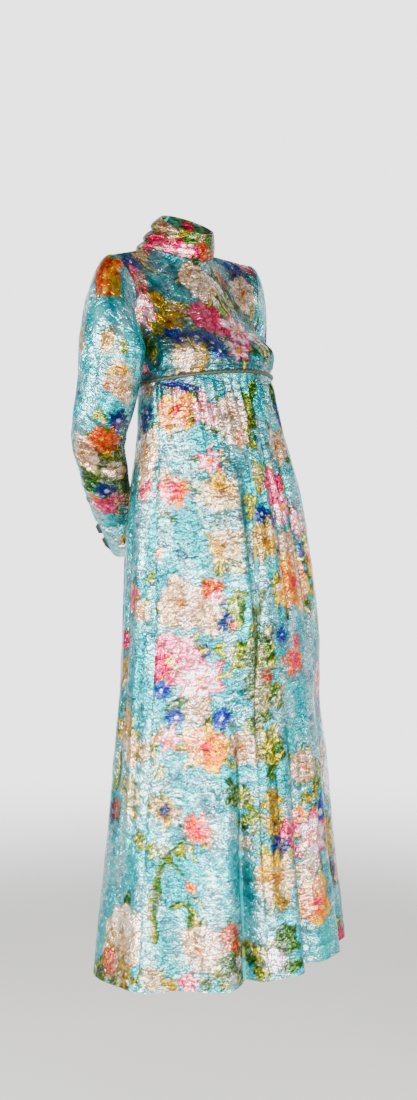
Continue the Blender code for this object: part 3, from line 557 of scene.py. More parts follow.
def cloth_piece(name, outer, inside, thickness, every, flat, colour, materials, nodes):
    """Closed panel: a fine outer face, and an inner face from one in every few points moved inwards by the
    thickness. Each step of the inner edge is joined to the finer outer edge by one narrow face."""
    rows, columns = outer.shape[:2]
    front = np.arange(rows * columns).reshape(rows, columns)
    inner = (outer + inside * thickness)[::every, ::every]
    behind = rows * columns + np.arange(inner.shape[0] * inner.shape[1]).reshape(inner.shape[:2])

    def around(index):
        corners = [index[:-1, :-1], index[:-1, 1:], index[1:, 1:], index[1:, :-1]]
        return np.stack(corners, axis=-1).reshape(-1, 4)

    def rim(edge, inner_edge):
        steps = np.stack([edge[k : len(edge) - every + k : every] for k in range(every + 1)], axis=-1)
        return np.concatenate([steps, inner_edge[1:, None], inner_edge[:-1, None]], axis=-1)

    rims = [
        rim(front[0], behind[0])[:, ::-1], rim(front[-1], behind[-1]),
        rim(front[:, 0], behind[:, 0]), rim(front[:, -1], behind[:, -1])[:, ::-1],
    ]
    outside, wrong_side, rims = around(front), around(behind)[:, ::-1], np.concatenate(rims)
    if np.sum(np.cross(np.gradient(outer, axis=1), np.gradient(outer, axis=0)) * inside) > 0.0:
        outside, wrong_side, rims = outside[:, ::-1], wrong_side[:, ::-1], rims[:, ::-1]
    verts = np.concatenate([outer.reshape(-1, 3), inner.reshape(-1, 3)])
    faces = outside.tolist() + rims.tolist() + wrong_side.tolist()
    piece = sew_on(name, verts, faces, materials, nodes)
    under = np.zeros(len(faces), np.int32)
    under[len(outside) + len(rims) :] = 1 if len(materials) > 1 else 0
    piece.data.polygons.foreach_set("material_index", under)
    set_uv(piece.data, "flat", np.concatenate([flat.reshape(-1, 2), flat[::every, ::every].reshape(-1, 2)]))
    if colour is not None:
        both = np.concatenate([colour, colour.reshape(rows, columns, 3)[::every, ::every].reshape(-1, 3)])
        rgba = np.concatenate([both, np.ones((len(both), 1))], axis=1).astype(np.float32)
        layer = piece.data.color_attributes.new("print", "FLOAT_COLOR", "POINT")
        layer.data.foreach_set("color", rgba.ravel())
    return piece


def lame(name, wrong_side):
    """Lame brocade. The sunk lines of the crackle are painted darker, the print colour multiplied over
    itself, as painted shade in them. The raised cells between them float fine silver yarn on top of the
    print, like a coat that flashes white where it faces the light."""
    made, tree, shader = new_material(name)
    place = add_node(tree, "UVMap", uv_map="flat")
    colours = add_node(tree, "Attribute", attribute_name="print")
    dye = add_node(tree, "HueSaturation", {"Saturation": 1.22, "Value": 0.66, "Color": colours})
    drift = add_node(tree, "TexNoise", {"Vector": place, "Scale": 60.0, "Detail": 3.0, "Roughness": 0.6})
    moved = add_node(tree, "VectorMath", [drift.outputs["Color"], (0.036, 0.020, 0.0), place],
                     operation="MULTIPLY_ADD")
    # The crackle's cells are 16 mm across the cloth and 7 mm down it, and its lines are 2 mm wide
    wide = add_node(tree, "Mapping", {"Vector": moved, "Scale": (62.0, 138.0, 1.0)})
    cells = add_node(tree, "TexVoronoi", {"Vector": wide, "Scale": 1.0}, feature="DISTANCE_TO_EDGE")
    lines = add_node(tree, "MapRange", [cells, 0.0, 0.15, 0.9, 0.0], interpolation_type="SMOOTHSTEP")
    broken = add_node(tree, "MapRange", [drift, 0.38, 0.62, 0.15, 1.0])
    lines = add_node(tree, "Math", [lines, broken], operation="MULTIPLY")
    # Each cell is a facet that tips its own way by up to 16 degrees, so a glint covers one but not the next
    own = add_node(tree, "TexVoronoi", {"Vector": wide, "Scale": 1.0}, feature="F1")
    offset = add_node(tree, "VectorMath", [wide, own.outputs["Position"]], operation="SUBTRACT")
    way = add_node(tree, "VectorMath", [own.outputs["Color"], (6.0, 3.4, 0.0), (-3.0, -1.7, 0.0)],
                   operation="MULTIPLY_ADD")
    facet = add_node(tree, "VectorMath", [offset, way], operation="DOT_PRODUCT")
    # More silver floats on top in streaks 45 mm wide and 150 mm long that follow the warp, with 3 mm grains
    # in them, and less where the dye is dark. The long streaks are partly the yarn and partly painted sheen,
    # where light would catch the vertical folds
    warp = add_node(tree, "Mapping", {"Vector": place, "Scale": (22.0, 6.5, 1.0)})
    silver_and_sheen_streaks = add_node(tree, "TexNoise", {"Vector": warp, "Scale": 1.0, "Detail": 1.0})
    grains = add_node(tree, "TexNoise", {"Vector": place, "Scale": 300.0, "Detail": 2.0})
    both = add_node(tree, "Math", [silver_and_sheen_streaks, 2.0, grains], operation="MULTIPLY_ADD")
    share = add_node(tree, "SeparateColor", [own.outputs["Color"]])
    both = add_node(tree, "Math", [share.outputs["Blue"], 0.35, both], operation="MULTIPLY_ADD")
    silver = add_node(tree, "MapRange", [both, 1.55, 1.85, 0.0, 1.0], interpolation_type="SMOOTHSTEP")
    depth = add_node(tree, "RGBToBW", [dye])
    bare = add_node(tree, "MapRange", [depth, 0.04, 0.30, 0.15, 1.0])
    floats = add_node(tree, "Math", [silver, bare], operation="MULTIPLY")
    shown = add_node(tree, "Math", [floats, 0.08 if wrong_side else 0.15], operation="MULTIPLY")
    # The silver share whitens the base colour: the yarn's own colour, and in its long streaks a painted
    # sheen
    lit = add_node(tree, "Mix", {0: shown, 6: dye, 7: "F6FCFB"}, data_type="RGBA")
    # Painted shade: the colour in the sunk crackle lines is multiplied by the print colour, darker than the
    # print
    line_shade_amount = add_node(tree, "Math", [lines, 0.80], operation="MULTIPLY")
    dark = add_node(tree, "Mix", {0: line_shade_amount, 6: lit.outputs[2], 7: dye}, data_type="RGBA",
                    blend_type="MULTIPLY")
    # Cells are low pillows of 0.5 mm besides, on yarns that drift by 1 mm under them
    pillow = add_node(tree, "MapRange", [cells, 0.0, 0.30, 0.0, 0.5], interpolation_type="SMOOTHSTEP")
    ripple = add_node(tree, "Math", [drift, 2.0, pillow], operation="MULTIPLY_ADD")
    height = add_node(tree, "Math", [grains, 0.80, ripple], operation="MULTIPLY_ADD")
    height = add_node(tree, "Math", [facet.outputs["Value"], height], operation="ADD")
    bumps = add_node(tree, "Bump", {"Height": height, "Strength": 0.9, "Distance": 0.0011})
    plug(shader, {"Base Color": dark.outputs[2], "Normal": bumps, "Coat Normal": bumps, "Roughness": 0.25,
                  "Specular Tint": (0.52, 0.58, 0.58, 1.0), "Metallic": 0.15 if wrong_side else 0.75})
    if not wrong_side:
        raised = add_node(tree, "MapRange", [lines, 0.0, 0.9, 1.0, 0.05])
        cover = add_node(tree, "Math", [floats, raised], operation="MULTIPLY")
        plug(shader, {"Coat Weight": cover, "Coat IOR": 2.6, "Coat Roughness": 0.09})
    return made


brocade = [lame("printed_lame_brocade_woven", False), lame("lame_brocade_wrong_side", True)]


def brocade_piece(name, outer, inside, flat, garden, ground, seed, node, thickness=CLOTH):
    """Panel of the printed brocade, with an inner face three times as coarse as its outer one."""
    colour = printed(flat, garden, ground, seed)
    return cloth_piece(name, outer, inside, thickness, 3, flat, colour, brocade, [node])


# Kind, place on the flat cloth in mm from the middle of the panel and from the empire seam, half size in mm,
# turn in degrees. The rest of each panel, which the photograph hides, is sown with more of the same
FRONT_GARDEN = [
    ("spray", -365, 1030, 14, 5), ("spray_dark_leaf", -285, 1030, 15, 20),
    ("spray_dark_leaf", -260, 1005, 18, 75), ("spray", -245, 1035, 13, -15), ("spray", -215, 990, 26, 80),
    ("spray_dark_leaf", -140, 995, 22, -15), ("spray", -100, 985, 17, 0),
    ("spray_dark_leaf", -70, 980, 20, 85), ("spray", -130, 1020, 20, -10),
    ("spray_dark_leaf", -85, 1025, 17, 10), ("spray", -55, 635, 33, 100),
    ("spray_dark_leaf", -55, 585, 21, 85), ("spray", -60, 550, 24, 85), ("spray", -110, 485, 25, 85),
    ("spray", -115, 400, 20, 85), ("spray", -75, 430, 30, 110), ("spray", -120, 730, 20, 90),
    ("spray_dark_leaf", -135, 780, 18, 90), ("spray", 50, 715, 32, 40), ("spray", -290, 910, 17, 15),
    ("stem_dark_leaf", -352, 915, 51, 110), ("stem_leaf", -330, 855, 34, 105),
    ("stem_leaf", -300, 825, 28, 65), ("spray", -280, 810, 16, -25), ("spray_leaf", -310, 810, 16, 75),
    ("spray", -85, 470, 26, 85), ("spray_dark_leaf", -85, 540, 24, 85), ("spray", -30, 560, 26, 85),
    ("spray", -85, 620, 26, 85), ("spray_dark_leaf", -35, 650, 22, 85), ("spray", -200, 400, 20, 40),
    ("spray_dark_leaf", -300, 250, 18, 30), ("spray", -330, 660, 20, 20),
    ("spray_dark_leaf", -155, 720, 24, 110), ("spray", -60, 480, 42, 100),
    ("spray_gold_leaf", -65, 565, 30, 85), ("stem_leaf", -60, 440, 71, 105),
    ("stem_gold_leaf", -60, 550, 81, 95), ("spray_gold_leaf", -55, 650, 35, 105),
    ("spray", -250, 1005, 23, 85), ("spray_gold_leaf", -150, 995, 33, -5),
    ("spray_dark_leaf", -80, 975, 32, 90), ("spray_dark_leaf", -70, 1025, 16, 5),
    ("white_peony", -105, 1010, 17, 5), ("spray", -5, 65, 35, 100), ("stem_leaf", 15, 50, 53, 115),
    ("spray", -20, 120, 17, 105), ("leaf", 65, 60, 13, 50), ("spray", -115, 390, 26, 90),
    ("spray_leaf", -180, 380, 16, 60), ("spray_gold_leaf", -200, 460, 16, 60), ("spray", -135, 330, 21, 5),
    ("spray_gold_leaf", -110, 335, 16, 20), ("spray_gold_leaf", -50, 235, 22, 90),
    ("leaf", -220, 230, 15, 45), ("dark_leaf", -210, 240, 15, 35), ("spray_leaf", -140, 475, 16, 60),
    ("stem_leaf", 15, 400, 38, 105), ("leaf", -20, 380, 36, 95), ("spray_leaf", -270, 665, 19, 115),
    ("spray_gold_leaf", -270, 625, 21, 105), ("spray", -120, 730, 23, 100),
    ("spray_leaf", -115, 770, 22, 110), ("spray_gold_leaf", 45, 745, 22, -15),
    ("spray_leaf", 75, 715, 29, 100), ("stem_leaf", -350, 905, 59, 105),
    ("stem_gold_leaf", -360, 920, 44, 100), ("stem_leaf", -320, 830, 30, -50),
    ("stem_leaf", -295, 805, 29, -25), ("spray_leaf", -270, 800, 18, -10), ("leaf", -260, 820, 12, 55),
    ("spray_leaf", -330, 800, 17, 85), ("stem_leaf", -290, 905, 23, 90), ("leaf", -315, 900, 17, -15),
    ("leaf", -270, 895, 15, 30), ("dark_leaf", -290, 925, 18, 80), ("orange_poppy", -280, 870, 11, 0),
    ("navy_aster", -140, 20, 23, 10), ("blue_cornflower", -160, 15, 13, 10),
    ("orange_poppy", -200, 45, 17, 10), ("pink_lily", -170, 35, 20, 5), ("orange_poppy", -170, 55, 38, 25),
    ("orange_poppy", -145, 70, 20, 10), ("pink_lily", -115, 55, 26, 5), ("pink_lily", -90, 75, 23, 40),
    ("dark_leaf", -95, 100, 16, 30), ("beige_peony", -50, 70, 35, 0), ("cream_peony", -60, 105, 23, 5),
    ("orange_poppy", -45, 115, 16, 0), ("pink_lily", -115, 150, 25, 95), ("beige_peony", 60, 130, 32, 0),
    ("cream_peony", 160, 150, 33, -5), ("gold_leaf", -25, 185, 34, 95), ("rose_lily", 20, 205, 36, 80),
    ("pink_lily", 30, 240, 31, 80), ("pink_lily", 80, 265, 26, 90), ("pink_heart_daisy", -195, 190, 30, 10),
    ("cream_mum", -110, 205, 37, 15), ("blue_cornflower", -15, 265, 20, 5),
    ("blue_cornflower", -30, 250, 16, 0), ("cream_mum", -125, 295, 31, 5), ("cream_mum", -30, 295, 32, 5),
    ("beige_peony", 35, 310, 31, 0), ("blue_cornflower", 90, 325, 19, 0),
    ("orange_poppy", -245, 295, 11, 5), ("blue_leaf", -205, 300, 16, 35), ("orange_poppy", 35, 370, 59, 5),
    ("beige_peony", -210, 385, 46, 5), ("rust_carnation", -155, 365, 20, 5),
    ("pink_lily", -150, 385, 14, 10), ("cream_peony", -155, 420, 24, 5), ("navy_aster", -130, 425, 19, 10),
    ("orange_poppy", -120, 435, 10, 10), ("navy_aster", -175, 470, 14, 5), ("leaf", -115, 410, 28, 80),
    ("cream_mum", -195, 470, 15, 10), ("pink_peony", -230, 480, 48, 5), ("rose_lily", -255, 495, 24, 0),
    ("pink_lily", -175, 520, 42, 20), ("blue_cornflower", -245, 530, 18, 0),
    ("blue_cornflower", -220, 575, 20, 10), ("dark_leaf", -215, 555, 26, -20),
    ("beige_peony", -180, 570, 23, 5), ("blue_cornflower", -140, 590, 21, 10),
    ("pink_lily", -235, 615, 24, 10), ("orange_poppy", -175, 635, 43, 10),
    ("beige_peony", -105, 645, 28, 15), ("gold_leaf", -130, 675, 13, 90),
    ("rust_carnation", -50, 525, 12, 5), ("blue_cornflower", -15, 460, 14, 15),
    ("pink_heart_daisy", 15, 505, 27, 10), ("pink_heart_daisy", 20, 470, 9, 5),
    ("beige_peony", 30, 695, 30, 5), ("rust_carnation", 125, 690, 23, 5), ("gold_daisy", -285, 735, 30, 0),
    ("navy_aster", -285, 735, 12, 0), ("pink_heart_daisy", -235, 770, 27, 10),
    ("gold_daisy", -65, 740, 23, 10), ("gold_daisy", -70, 780, 26, 10), ("cream_peony", -135, 810, 12, 0),
    ("orange_poppy", 15, 780, 20, 10), ("blue_cornflower", 75, 780, 31, 5), ("rose_lily", -35, 810, 35, 10),
    ("pink_lily", 45, 820, 47, 30), ("navy_aster", -65, 820, 22, 5), ("cream_mum", -85, 870, 45, 10),
    ("beige_peony", 35, 875, 25, 0), ("navy_aster", 165, 900, 25, 10), ("orange_poppy", 45, 930, 44, 15),
    ("gold_daisy", -75, 915, 15, 15), ("beige_peony", -280, 975, 42, 5),
    ("rust_carnation", -220, 960, 26, 15), ("white_peony", -215, 1015, 21, 15),
    ("gold_daisy", -380, 1020, 22, 0), ("gold_daisy", -350, 1035, 13, 0), ("rose_lily", -315, 1030, 19, -5),
    ("rose_lily", 180, 1015, 20, 10), ("spray_dark_leaf", -235, 1005, 24, 70),
    ("spray", -205, 1030, 20, 10), ("spray_dark_leaf", -165, 1000, 24, 60), ("spray", -130, 1032, 18, -10),
    ("spray", -180, 985, 16, 30), ("spray_dark_leaf", -395, 700, 18, 80),
    ("spray_dark_leaf", -90, 500, 18, 80), ("spray_dark_leaf", -75, 600, 18, 95),
    ("spray_dark_leaf", -60, 690, 16, 90),
] + sown(110.0, 470.0, 10.0, 1060.0, 78.0, 11)
BACK_RIGHT_GARDEN = sown(-230.0, 30.0, 10.0, 1060.0, 78.0, 12) + [
    ("spray", 65, 1035, 38, -10), ("spray_dark_leaf", 130, 1035, 31, -15), ("spray", 185, 1030, 17, -5),
    ("spray_gold_leaf", 115, 710, 42, 65), ("spray", 150, 790, 18, 25),
    ("spray_dark_leaf", 80, 1030, 25, -15), ("spray", 135, 335, 19, 10), ("spray_leaf", 160, 785, 17, 20),
    ("blue_cornflower", 70, 50, 17, 10), ("blue_cornflower", 55, 80, 23, 5),
    ("cream_peony", 75, 115, 36, 5), ("cream_peony", 85, 155, 23, 5), ("pink_peony", 90, 185, 17, 5),
    ("beige_peony", 70, 10, 16, 10), ("pink_peony", 80, 370, 25, 0), ("cream_peony", 110, 390, 21, 0),
    ("gold_daisy", 50, 500, 29, -5), ("rose_lily", 40, 445, 19, -5), ("cream_mum", 80, 595, 36, -5),
    ("cream_peony", 110, 635, 28, -5), ("gold_daisy", 140, 635, 18, 0), ("gold_leaf", 115, 705, 34, 85),
    ("leaf", 50, 675, 42, 90), ("navy_aster", 50, 750, 24, -10), ("rust_carnation", 65, 740, 16, -10),
    ("gold_leaf", 120, 740, 25, 15), ("cream_peony", 135, 965, 66, -10), ("cream_mum", 115, 980, 31, -10),
    ("rust_carnation", 95, 1005, 25, -10), ("gold_daisy", 145, 1020, 25, -10),
    ("spray_gold_leaf", -5, 255, 24, 25),
]
BACK_LEFT_GARDEN = sown(-230.0, 230.0, 10.0, 1060.0, 78.0, 13)

# Depth and width of an edge's roll into its seam, then the hem's stitches: how far up, how deep, how wide
ROLL_DEEP, ROLL_WIDE = 0.0018, 0.008
STITCHES_UP, STITCHES_DEEP, STITCHES_WIDE = 0.028, 0.0014, 0.004
# Height and length of the puckers, and how far from a seam and from the stitches they reach
PUCKER_HIGH, PUCKER_LONG, SEAM_PUCKERS, HEM_PUCKERS = 0.0006, 0.011, 0.024, 0.020
ZIP_DROP = (WAIST_BACK - ZIP_END) / (WAIST_BACK - HEM_MIDDLE)
SMALL_TURN = 0.01


def skirt_piece(name, start, end, columns, rows, start_gap, end_gap, garden, node, seed):
    """Panel between two seams, evenly spaced from seam to seam, with both edges rolled 2 mm into the seam, a
    hem stitched 28 mm up and small puckers along both."""
    drop = np.linspace(0.0, 1.0, rows + 1) ** 1.06
    width = np.linalg.norm(skirt(start + SMALL_TURN, drop) - skirt(start, drop), axis=-1) / SMALL_TURN
    first = start + start_gap(drop) / width
    width = np.linalg.norm(skirt(end, drop) - skirt(end - SMALL_TURN, drop), axis=-1) / SMALL_TURN
    last = end - end_gap(drop) / width
    angle = first[:, None] + (last - first)[:, None] * np.linspace(0.0, 1.0, columns + 1)
    outer = skirt(angle, drop[:, None] + 0.0 * angle)
    inside = inward(outer)
    flat = flat_places(outer, columns // 2)
    edge = from_sides(flat)
    up = flat[-1:, :, 1] - flat[..., 1]
    above = up - STITCHES_UP
    pucker = grain(flat[..., 0], flat[..., 1], PUCKER_LONG, seed + 9)
    sunk = ROLL_DEEP * (1.0 - ramp(edge, 0.0, ROLL_WIDE)) + STITCHES_DEEP * bump(above / STITCHES_WIDE)
    sunk = sunk + PUCKER_HIGH * pucker * (bump(edge / SEAM_PUCKERS) + bump(above / HEM_PUCKERS))
    outer = outer + inside * (sunk * ramp(up, 0.0, STITCHES_WIDE) - loose(flat, seed))[..., None]
    piece = brocade_piece(name, outer, inside, flat, garden, TURQUOISE, seed, node)


def seam_gap(drop):
    """Half of the gap between two panels at a seam."""
    return np.full_like(drop, SEAM_GAP / 2.0)


def zip_gap(drop):
    """Half of the zip's width and a seam's gap down to its end, and half of a seam's gap below it."""
    return np.where(drop <= ZIP_DROP, ZIP_WIDTH / 2.0 + SEAM_GAP, SEAM_GAP / 2.0)


skirt_piece("skirt_front_panel", RIGHT_SEAM, LEFT_SEAM, 234, 351, seam_gap, seam_gap, FRONT_GARDEN,
            "skirt_front", 3)
skirt_piece("skirt_back_left_panel", LEFT_SEAM, BACK_TURN + 360.0, 129, 330, seam_gap, zip_gap,
            BACK_LEFT_GARDEN, "skirt_back_left", 5)
skirt_piece("skirt_back_right_panel", BACK_TURN, RIGHT_SEAM, 129, 330, zip_gap, seam_gap, BACK_RIGHT_GARDEN,
            "skirt_back_right", 8)


# BODICE
# A front cut in one, with the fullness of the bust gathered into the empire seam and a little blousing over
# it, and two plain backs up to the zip. The same brocade on a darker ground: partly the print's darkest
# ground, partly painted shade for the chest, which faces up towards the dim overhead.

# x, y, z of the right neckline from the centre front to the centre back
NECKLINE = np.array([
    (0.000, -0.054, -0.0270), (-0.036, -0.043, -0.0215), (-0.058, -0.017, -0.0120),
    (-0.064, 0.012, -0.0040), (-0.055, 0.048, -0.0050), (-0.031, 0.072, -0.0085), (0.000, 0.079, -0.0110),
])
# x, y, z of the right armhole from the shoulder down the front, under the arm and up the back
ARMHOLE = np.array([
    (-0.168, -0.007, -0.0220), (-0.161, -0.036, -0.0460), (-0.152, -0.048, -0.0870),
    (-0.150, -0.042, -0.1280), (-0.147, -0.022, -0.1570), (-0.150, 0.016, -0.1330),
    (-0.156, 0.038, -0.0880), (-0.163, 0.026, -0.0450),
])
ARMHOLE_CENTRE = ARMHOLE.mean(axis=0)
ARMHOLE_OUT = np.array((-0.99, 0.0, 0.14))
# x, y, z up the centre back, between the empire seam and the neckline
CENTRE_BACK = [(0.0, 0.050, -0.180), (0.0, 0.071, -0.100), (0.0, 0.083, -0.045)]
NECK_POINT = 0.5
NECK_INSIDE = np.array((0.0, 0.012, -0.065))
BODY_MIDDLE = np.array((0.0, -0.045, 0.0))
# Shares of a panel's width that its shoulder seam takes, and of its height that its side seam takes
FRONT_SHOULDER = 0.27
BACK_SHOULDER = 0.56
PANEL_ROWS = 13
SIDE_SHARE = 4.0 / PANEL_ROWS
FRONT_COLUMNS = 26
BACK_COLUMNS = 12
FINENESS = 9
EDGE_REACH = 0.55
PANEL_ROUNDS = 14
# x and z of the fullest point, its spread in x and z, and its depth
BUST = ((0.094, -0.185), (0.064, 0.062), 0.028)
BLADE = ((0.085, -0.095), (0.055, 0.070), 0.014)
# Share of the height where the front blouses most, share of the height over which it fades, and its depth
BLOUSE = (0.13, 0.26, 0.013)
BODICE_ROLL = 0.0010
# Where the print of a back panel is measured from, beside the side seam
BACK_PRINT_START = 0.11
# The darkest ground of the print, darker still as painted shade for the chest that faces up
DARK_TEAL_AND_SHADE = ("2F7F86", "63AEB2", "155058")

# mm on the flat front from its centre and up from the empire seam: from, to, bow, half width, height
BUST_GATHERS = [
    (-178, -4, -160, 62, 2, 8, -1.5), (-160, -4, -150, 88, 3, 9, 1.4), (-146, -4, -140, 52, -2, 8, -1.6),
    (-131, -4, -128, 74, 4, 9, 1.5), (-118, -4, -116, 96, 3, 8, -1.7), (-104, -4, -104, 56, 0, 9, 1.6),
    (-92, -4, -94, 84, -2, 8, -1.9), (-79, -4, -82, 50, 0, 9, 1.5), (-67, -4, -72, 72, -3, 8, -1.6),
    (-54, -4, -58, 48, 0, 9, 1.4), (-40, -4, -44, 62, -2, 9, -1.4), (-24, -4, -26, 44, 0, 9, 1.1),
    (-8, -4, -8, 66, 0, 10, -1.2), (10, -4, 10, 44, 0, 9, 1.1), (26, -4, 30, 58, 2, 9, -1.4),
    (42, -4, 47, 46, 0, 9, 1.4), (56, -4, 62, 74, 3, 8, -1.6), (70, -4, 76, 50, 0, 9, 1.5),
    (84, -4, 88, 86, 2, 8, -1.9), (98, -4, 100, 58, 0, 9, 1.6), (112, -4, 112, 92, -3, 8, -1.7),
    (127, -4, 126, 66, -4, 9, 1.4), (142, -4, 138, 54, 2, 8, -1.5), (160, -4, 150, 84, -3, 9, 1.2),
    (178, -4, 160, 58, -2, 8, -1.2), (-188, 60, -118, 168, 10, 10, 3.4), (-176, 40, -128, 140, 8, 8, -3.2),
    (-150, 150, -92, 196, 6, 10, 2.2), (186, 62, 120, 170, -10, 10, 3.2), (172, 44, 130, 134, -8, 8, -3.0),
]
BACK_CREASES = [
    (-96, 40, -40, 150, 8, 12, 2.6), (-84, 20, -20, 96, -6, 10, -2.4), (-60, -4, -50, 60, 2, 8, 2.0),
    (-30, -4, -26, 74, 0, 8, -2.0), (10, -4, 6, 52, 0, 8, 1.8), (50, 120, 84, 210, 6, 12, 2.4),
]
# Kind, place on the flat front in mm from its centre and up from the empire seam, half size in mm, turn
FRONT_BODICE_GARDEN = sown(150.0, 260.0, 0.0, 250.0, 70.0, 14) + [
    ("spray_dark_leaf", 110, 110, 36, -25), ("spray_dark_leaf", 100, 155, 34, -25),
    ("spray_dark_leaf", 95, 60, 30, 40), ("spray_gold_leaf", 135, 140, 27, -25),
    ("spray", 70, 50, 33, -115), ("spray_gold_leaf", -125, 260, 24, -5), ("leaf", -115, 225, 25, -40),
    ("gold_leaf", -130, 245, 26, -20), ("spray_leaf", -175, 50, 17, -125),
    ("dark_leaf", -170, 65, 31, -135), ("spray_gold_leaf", -135, 95, 17, -120),
    ("spray_gold_leaf", -115, 150, 18, -15), ("blue_cornflower", -155, 220, 23, 20),
    ("pink_peony", -155, 190, 20, -5), ("beige_peony", -145, 175, 15, 15),
    ("rose_lily", -145, 160, 14, -65), ("beige_peony", -145, 145, 12, -5),
    ("pink_lily", -155, 125, 33, -85), ("gold_daisy", -115, 150, 20, 15), ("gold_daisy", -85, 135, 20, -5),
    ("gold_daisy", -110, 110, 23, 5), ("cream_peony", -30, 200, 28, -5), ("cream_peony", -10, 175, 35, 0),
    ("cream_peony", 5, 165, 29, 5), ("spray_dark_leaf", 50, 185, 34, -60),
    ("orange_poppy", 60, 208, 24, 15), ("rust_carnation", 65, 205, 19, 15), ("spray", 38, 150, 34, -25),
    ("blue_cornflower", 140, 230, 28, -10), ("navy_aster", 135, 210, 23, -15),
    ("beige_peony", 125, 175, 36, -15), ("rose_lily", -50, 125, 23, -10), ("rose_lily", -35, 110, 35, -30),
    ("rose_lily", -15, 95, 30, -50), ("pink_lily", 25, 85, 42, -90), ("pink_lily", -5, 35, 27, -110),
    ("navy_aster", -115, 75, 20, 0), ("blue_cornflower", -105, 70, 23, -5),
    ("blue_cornflower", -80, 70, 21, -5), ("blue_cornflower", -60, 55, 25, -5),
    ("cream_mum", -105, 30, 33, -10), ("cream_peony", -110, 25, 18, -5), ("gold_daisy", -90, 25, 12, -5),
    ("blue_cornflower", -50, 35, 17, 0),
]
BACK_BODICE_GARDEN = sown(-130.0, 130.0, 0.0, 270.0, 66.0, 15)


def mirrored(points):
    """Points of the other side: x changes its sign."""
    return np.asarray(points) * (-1.0, 1.0, 1.0)


def towards(points, centre):
    """Unit vectors from points to a centre."""
    return unit(np.asarray(centre) - points)


def armhole(place):
    """Right armhole: place 0 at the shoulder, 0.25 at the front, 0.5 under the arm and 0.75 at the back."""
    return spline(np.asarray(place) % 1.0, np.arange(8) / 8.0, ARMHOLE, closed=True)


def neckline(place):
    """Neckline: 0 at the centre front, 1 and -1 at the centre back, positive on the right."""
    ring = np.concatenate([NECKLINE, mirrored(NECKLINE[1:-1])[::-1]])
    return spline(np.asarray(place) % 2.0, np.arange(12) / 6.0, ring, closed=True)


def above_cord(angle):
    """Lower edge of the bodice, a cord's radius and a gap above the middle of the cord."""
    return waist(angle) + (0.0, 0.0, CORD_RADIUS + SEAM_GAP)


    return waist(angle) + (0.0, 0.0, CORD_RADIUS + SEAM_GAP)


def side_and_armhole(rows, towards_front):
    """Right edge of a panel: the side seam up to under the arm, then half of the armhole to the shoulder."""
    foot = above_cord(np.array(RIGHT_SEAM))
    side = foot + (armhole(0.5) - foot) * (rows / SIDE_SHARE)[:, None]
    up = np.clip((rows - SIDE_SHARE) / (1.0 - SIDE_SHARE), 0.0, 1.0) / 2.0
    hole = armhole(0.5 - up if towards_front else 0.5 + up)
    return np.where((rows < SIDE_SHARE - 1e-9)[:, None], side, hole)


def shoulder_and_neck(across, shoulder, end):
    """Top edge of a panel: the shoulder seam up to its share of the width, then the neckline to a place."""
    tip = armhole(0.0)
    out = np.clip(across / shoulder, 0.0, 1.0)[:, None]
    turn = np.clip((across - shoulder) / (1.0 - shoulder), 0.0, 1.0)
    seam = tip + (neckline(NECK_POINT) - tip) * out
    return np.where(out < 1.0, seam, neckline(NECK_POINT + (end - NECK_POINT) * turn))


def draped(bottom, top, left, right, across, rows, fineness):
    """Straight lines from the bottom to the top edge. The bend of each side edge fades out towards the
    middle, and rounds of averaging with the four neighbours take any corner out of the cloth."""
    rows = rows[:, None, None]
    grid = (1.0 - rows) * bottom + rows * top
    near_left = (1.0 - ramp(across, 0.0, EDGE_REACH))[:, None]
    near_right = ramp(across, 1.0 - EDGE_REACH, 1.0)[:, None]
    grid = grid + near_left * (left[:, None] - grid[:, :1]) + near_right * (right[:, None] - grid[:, -1:])
    for _ in range(PANEL_ROUNDS * fineness**2):
        around = grid[:-2, 1:-1] + grid[2:, 1:-1] + grid[1:-1, :-2] + grid[1:-1, 2:]
        grid[1:-1, 1:-1] = 0.5 * grid[1:-1, 1:-1] + 0.125 * around
    return grid


def swelling(grid, point, spread, depth):
    """Bust cup or shoulder blade on both sides: depth * exp(-x'**2 - z'**2), in shares of its spread."""
    across = (np.abs(grid[..., 0]) - point[0]) / spread[0]
    return depth * np.exp(-(across**2) - ((grid[..., 2] - point[1]) / spread[1]) ** 2)


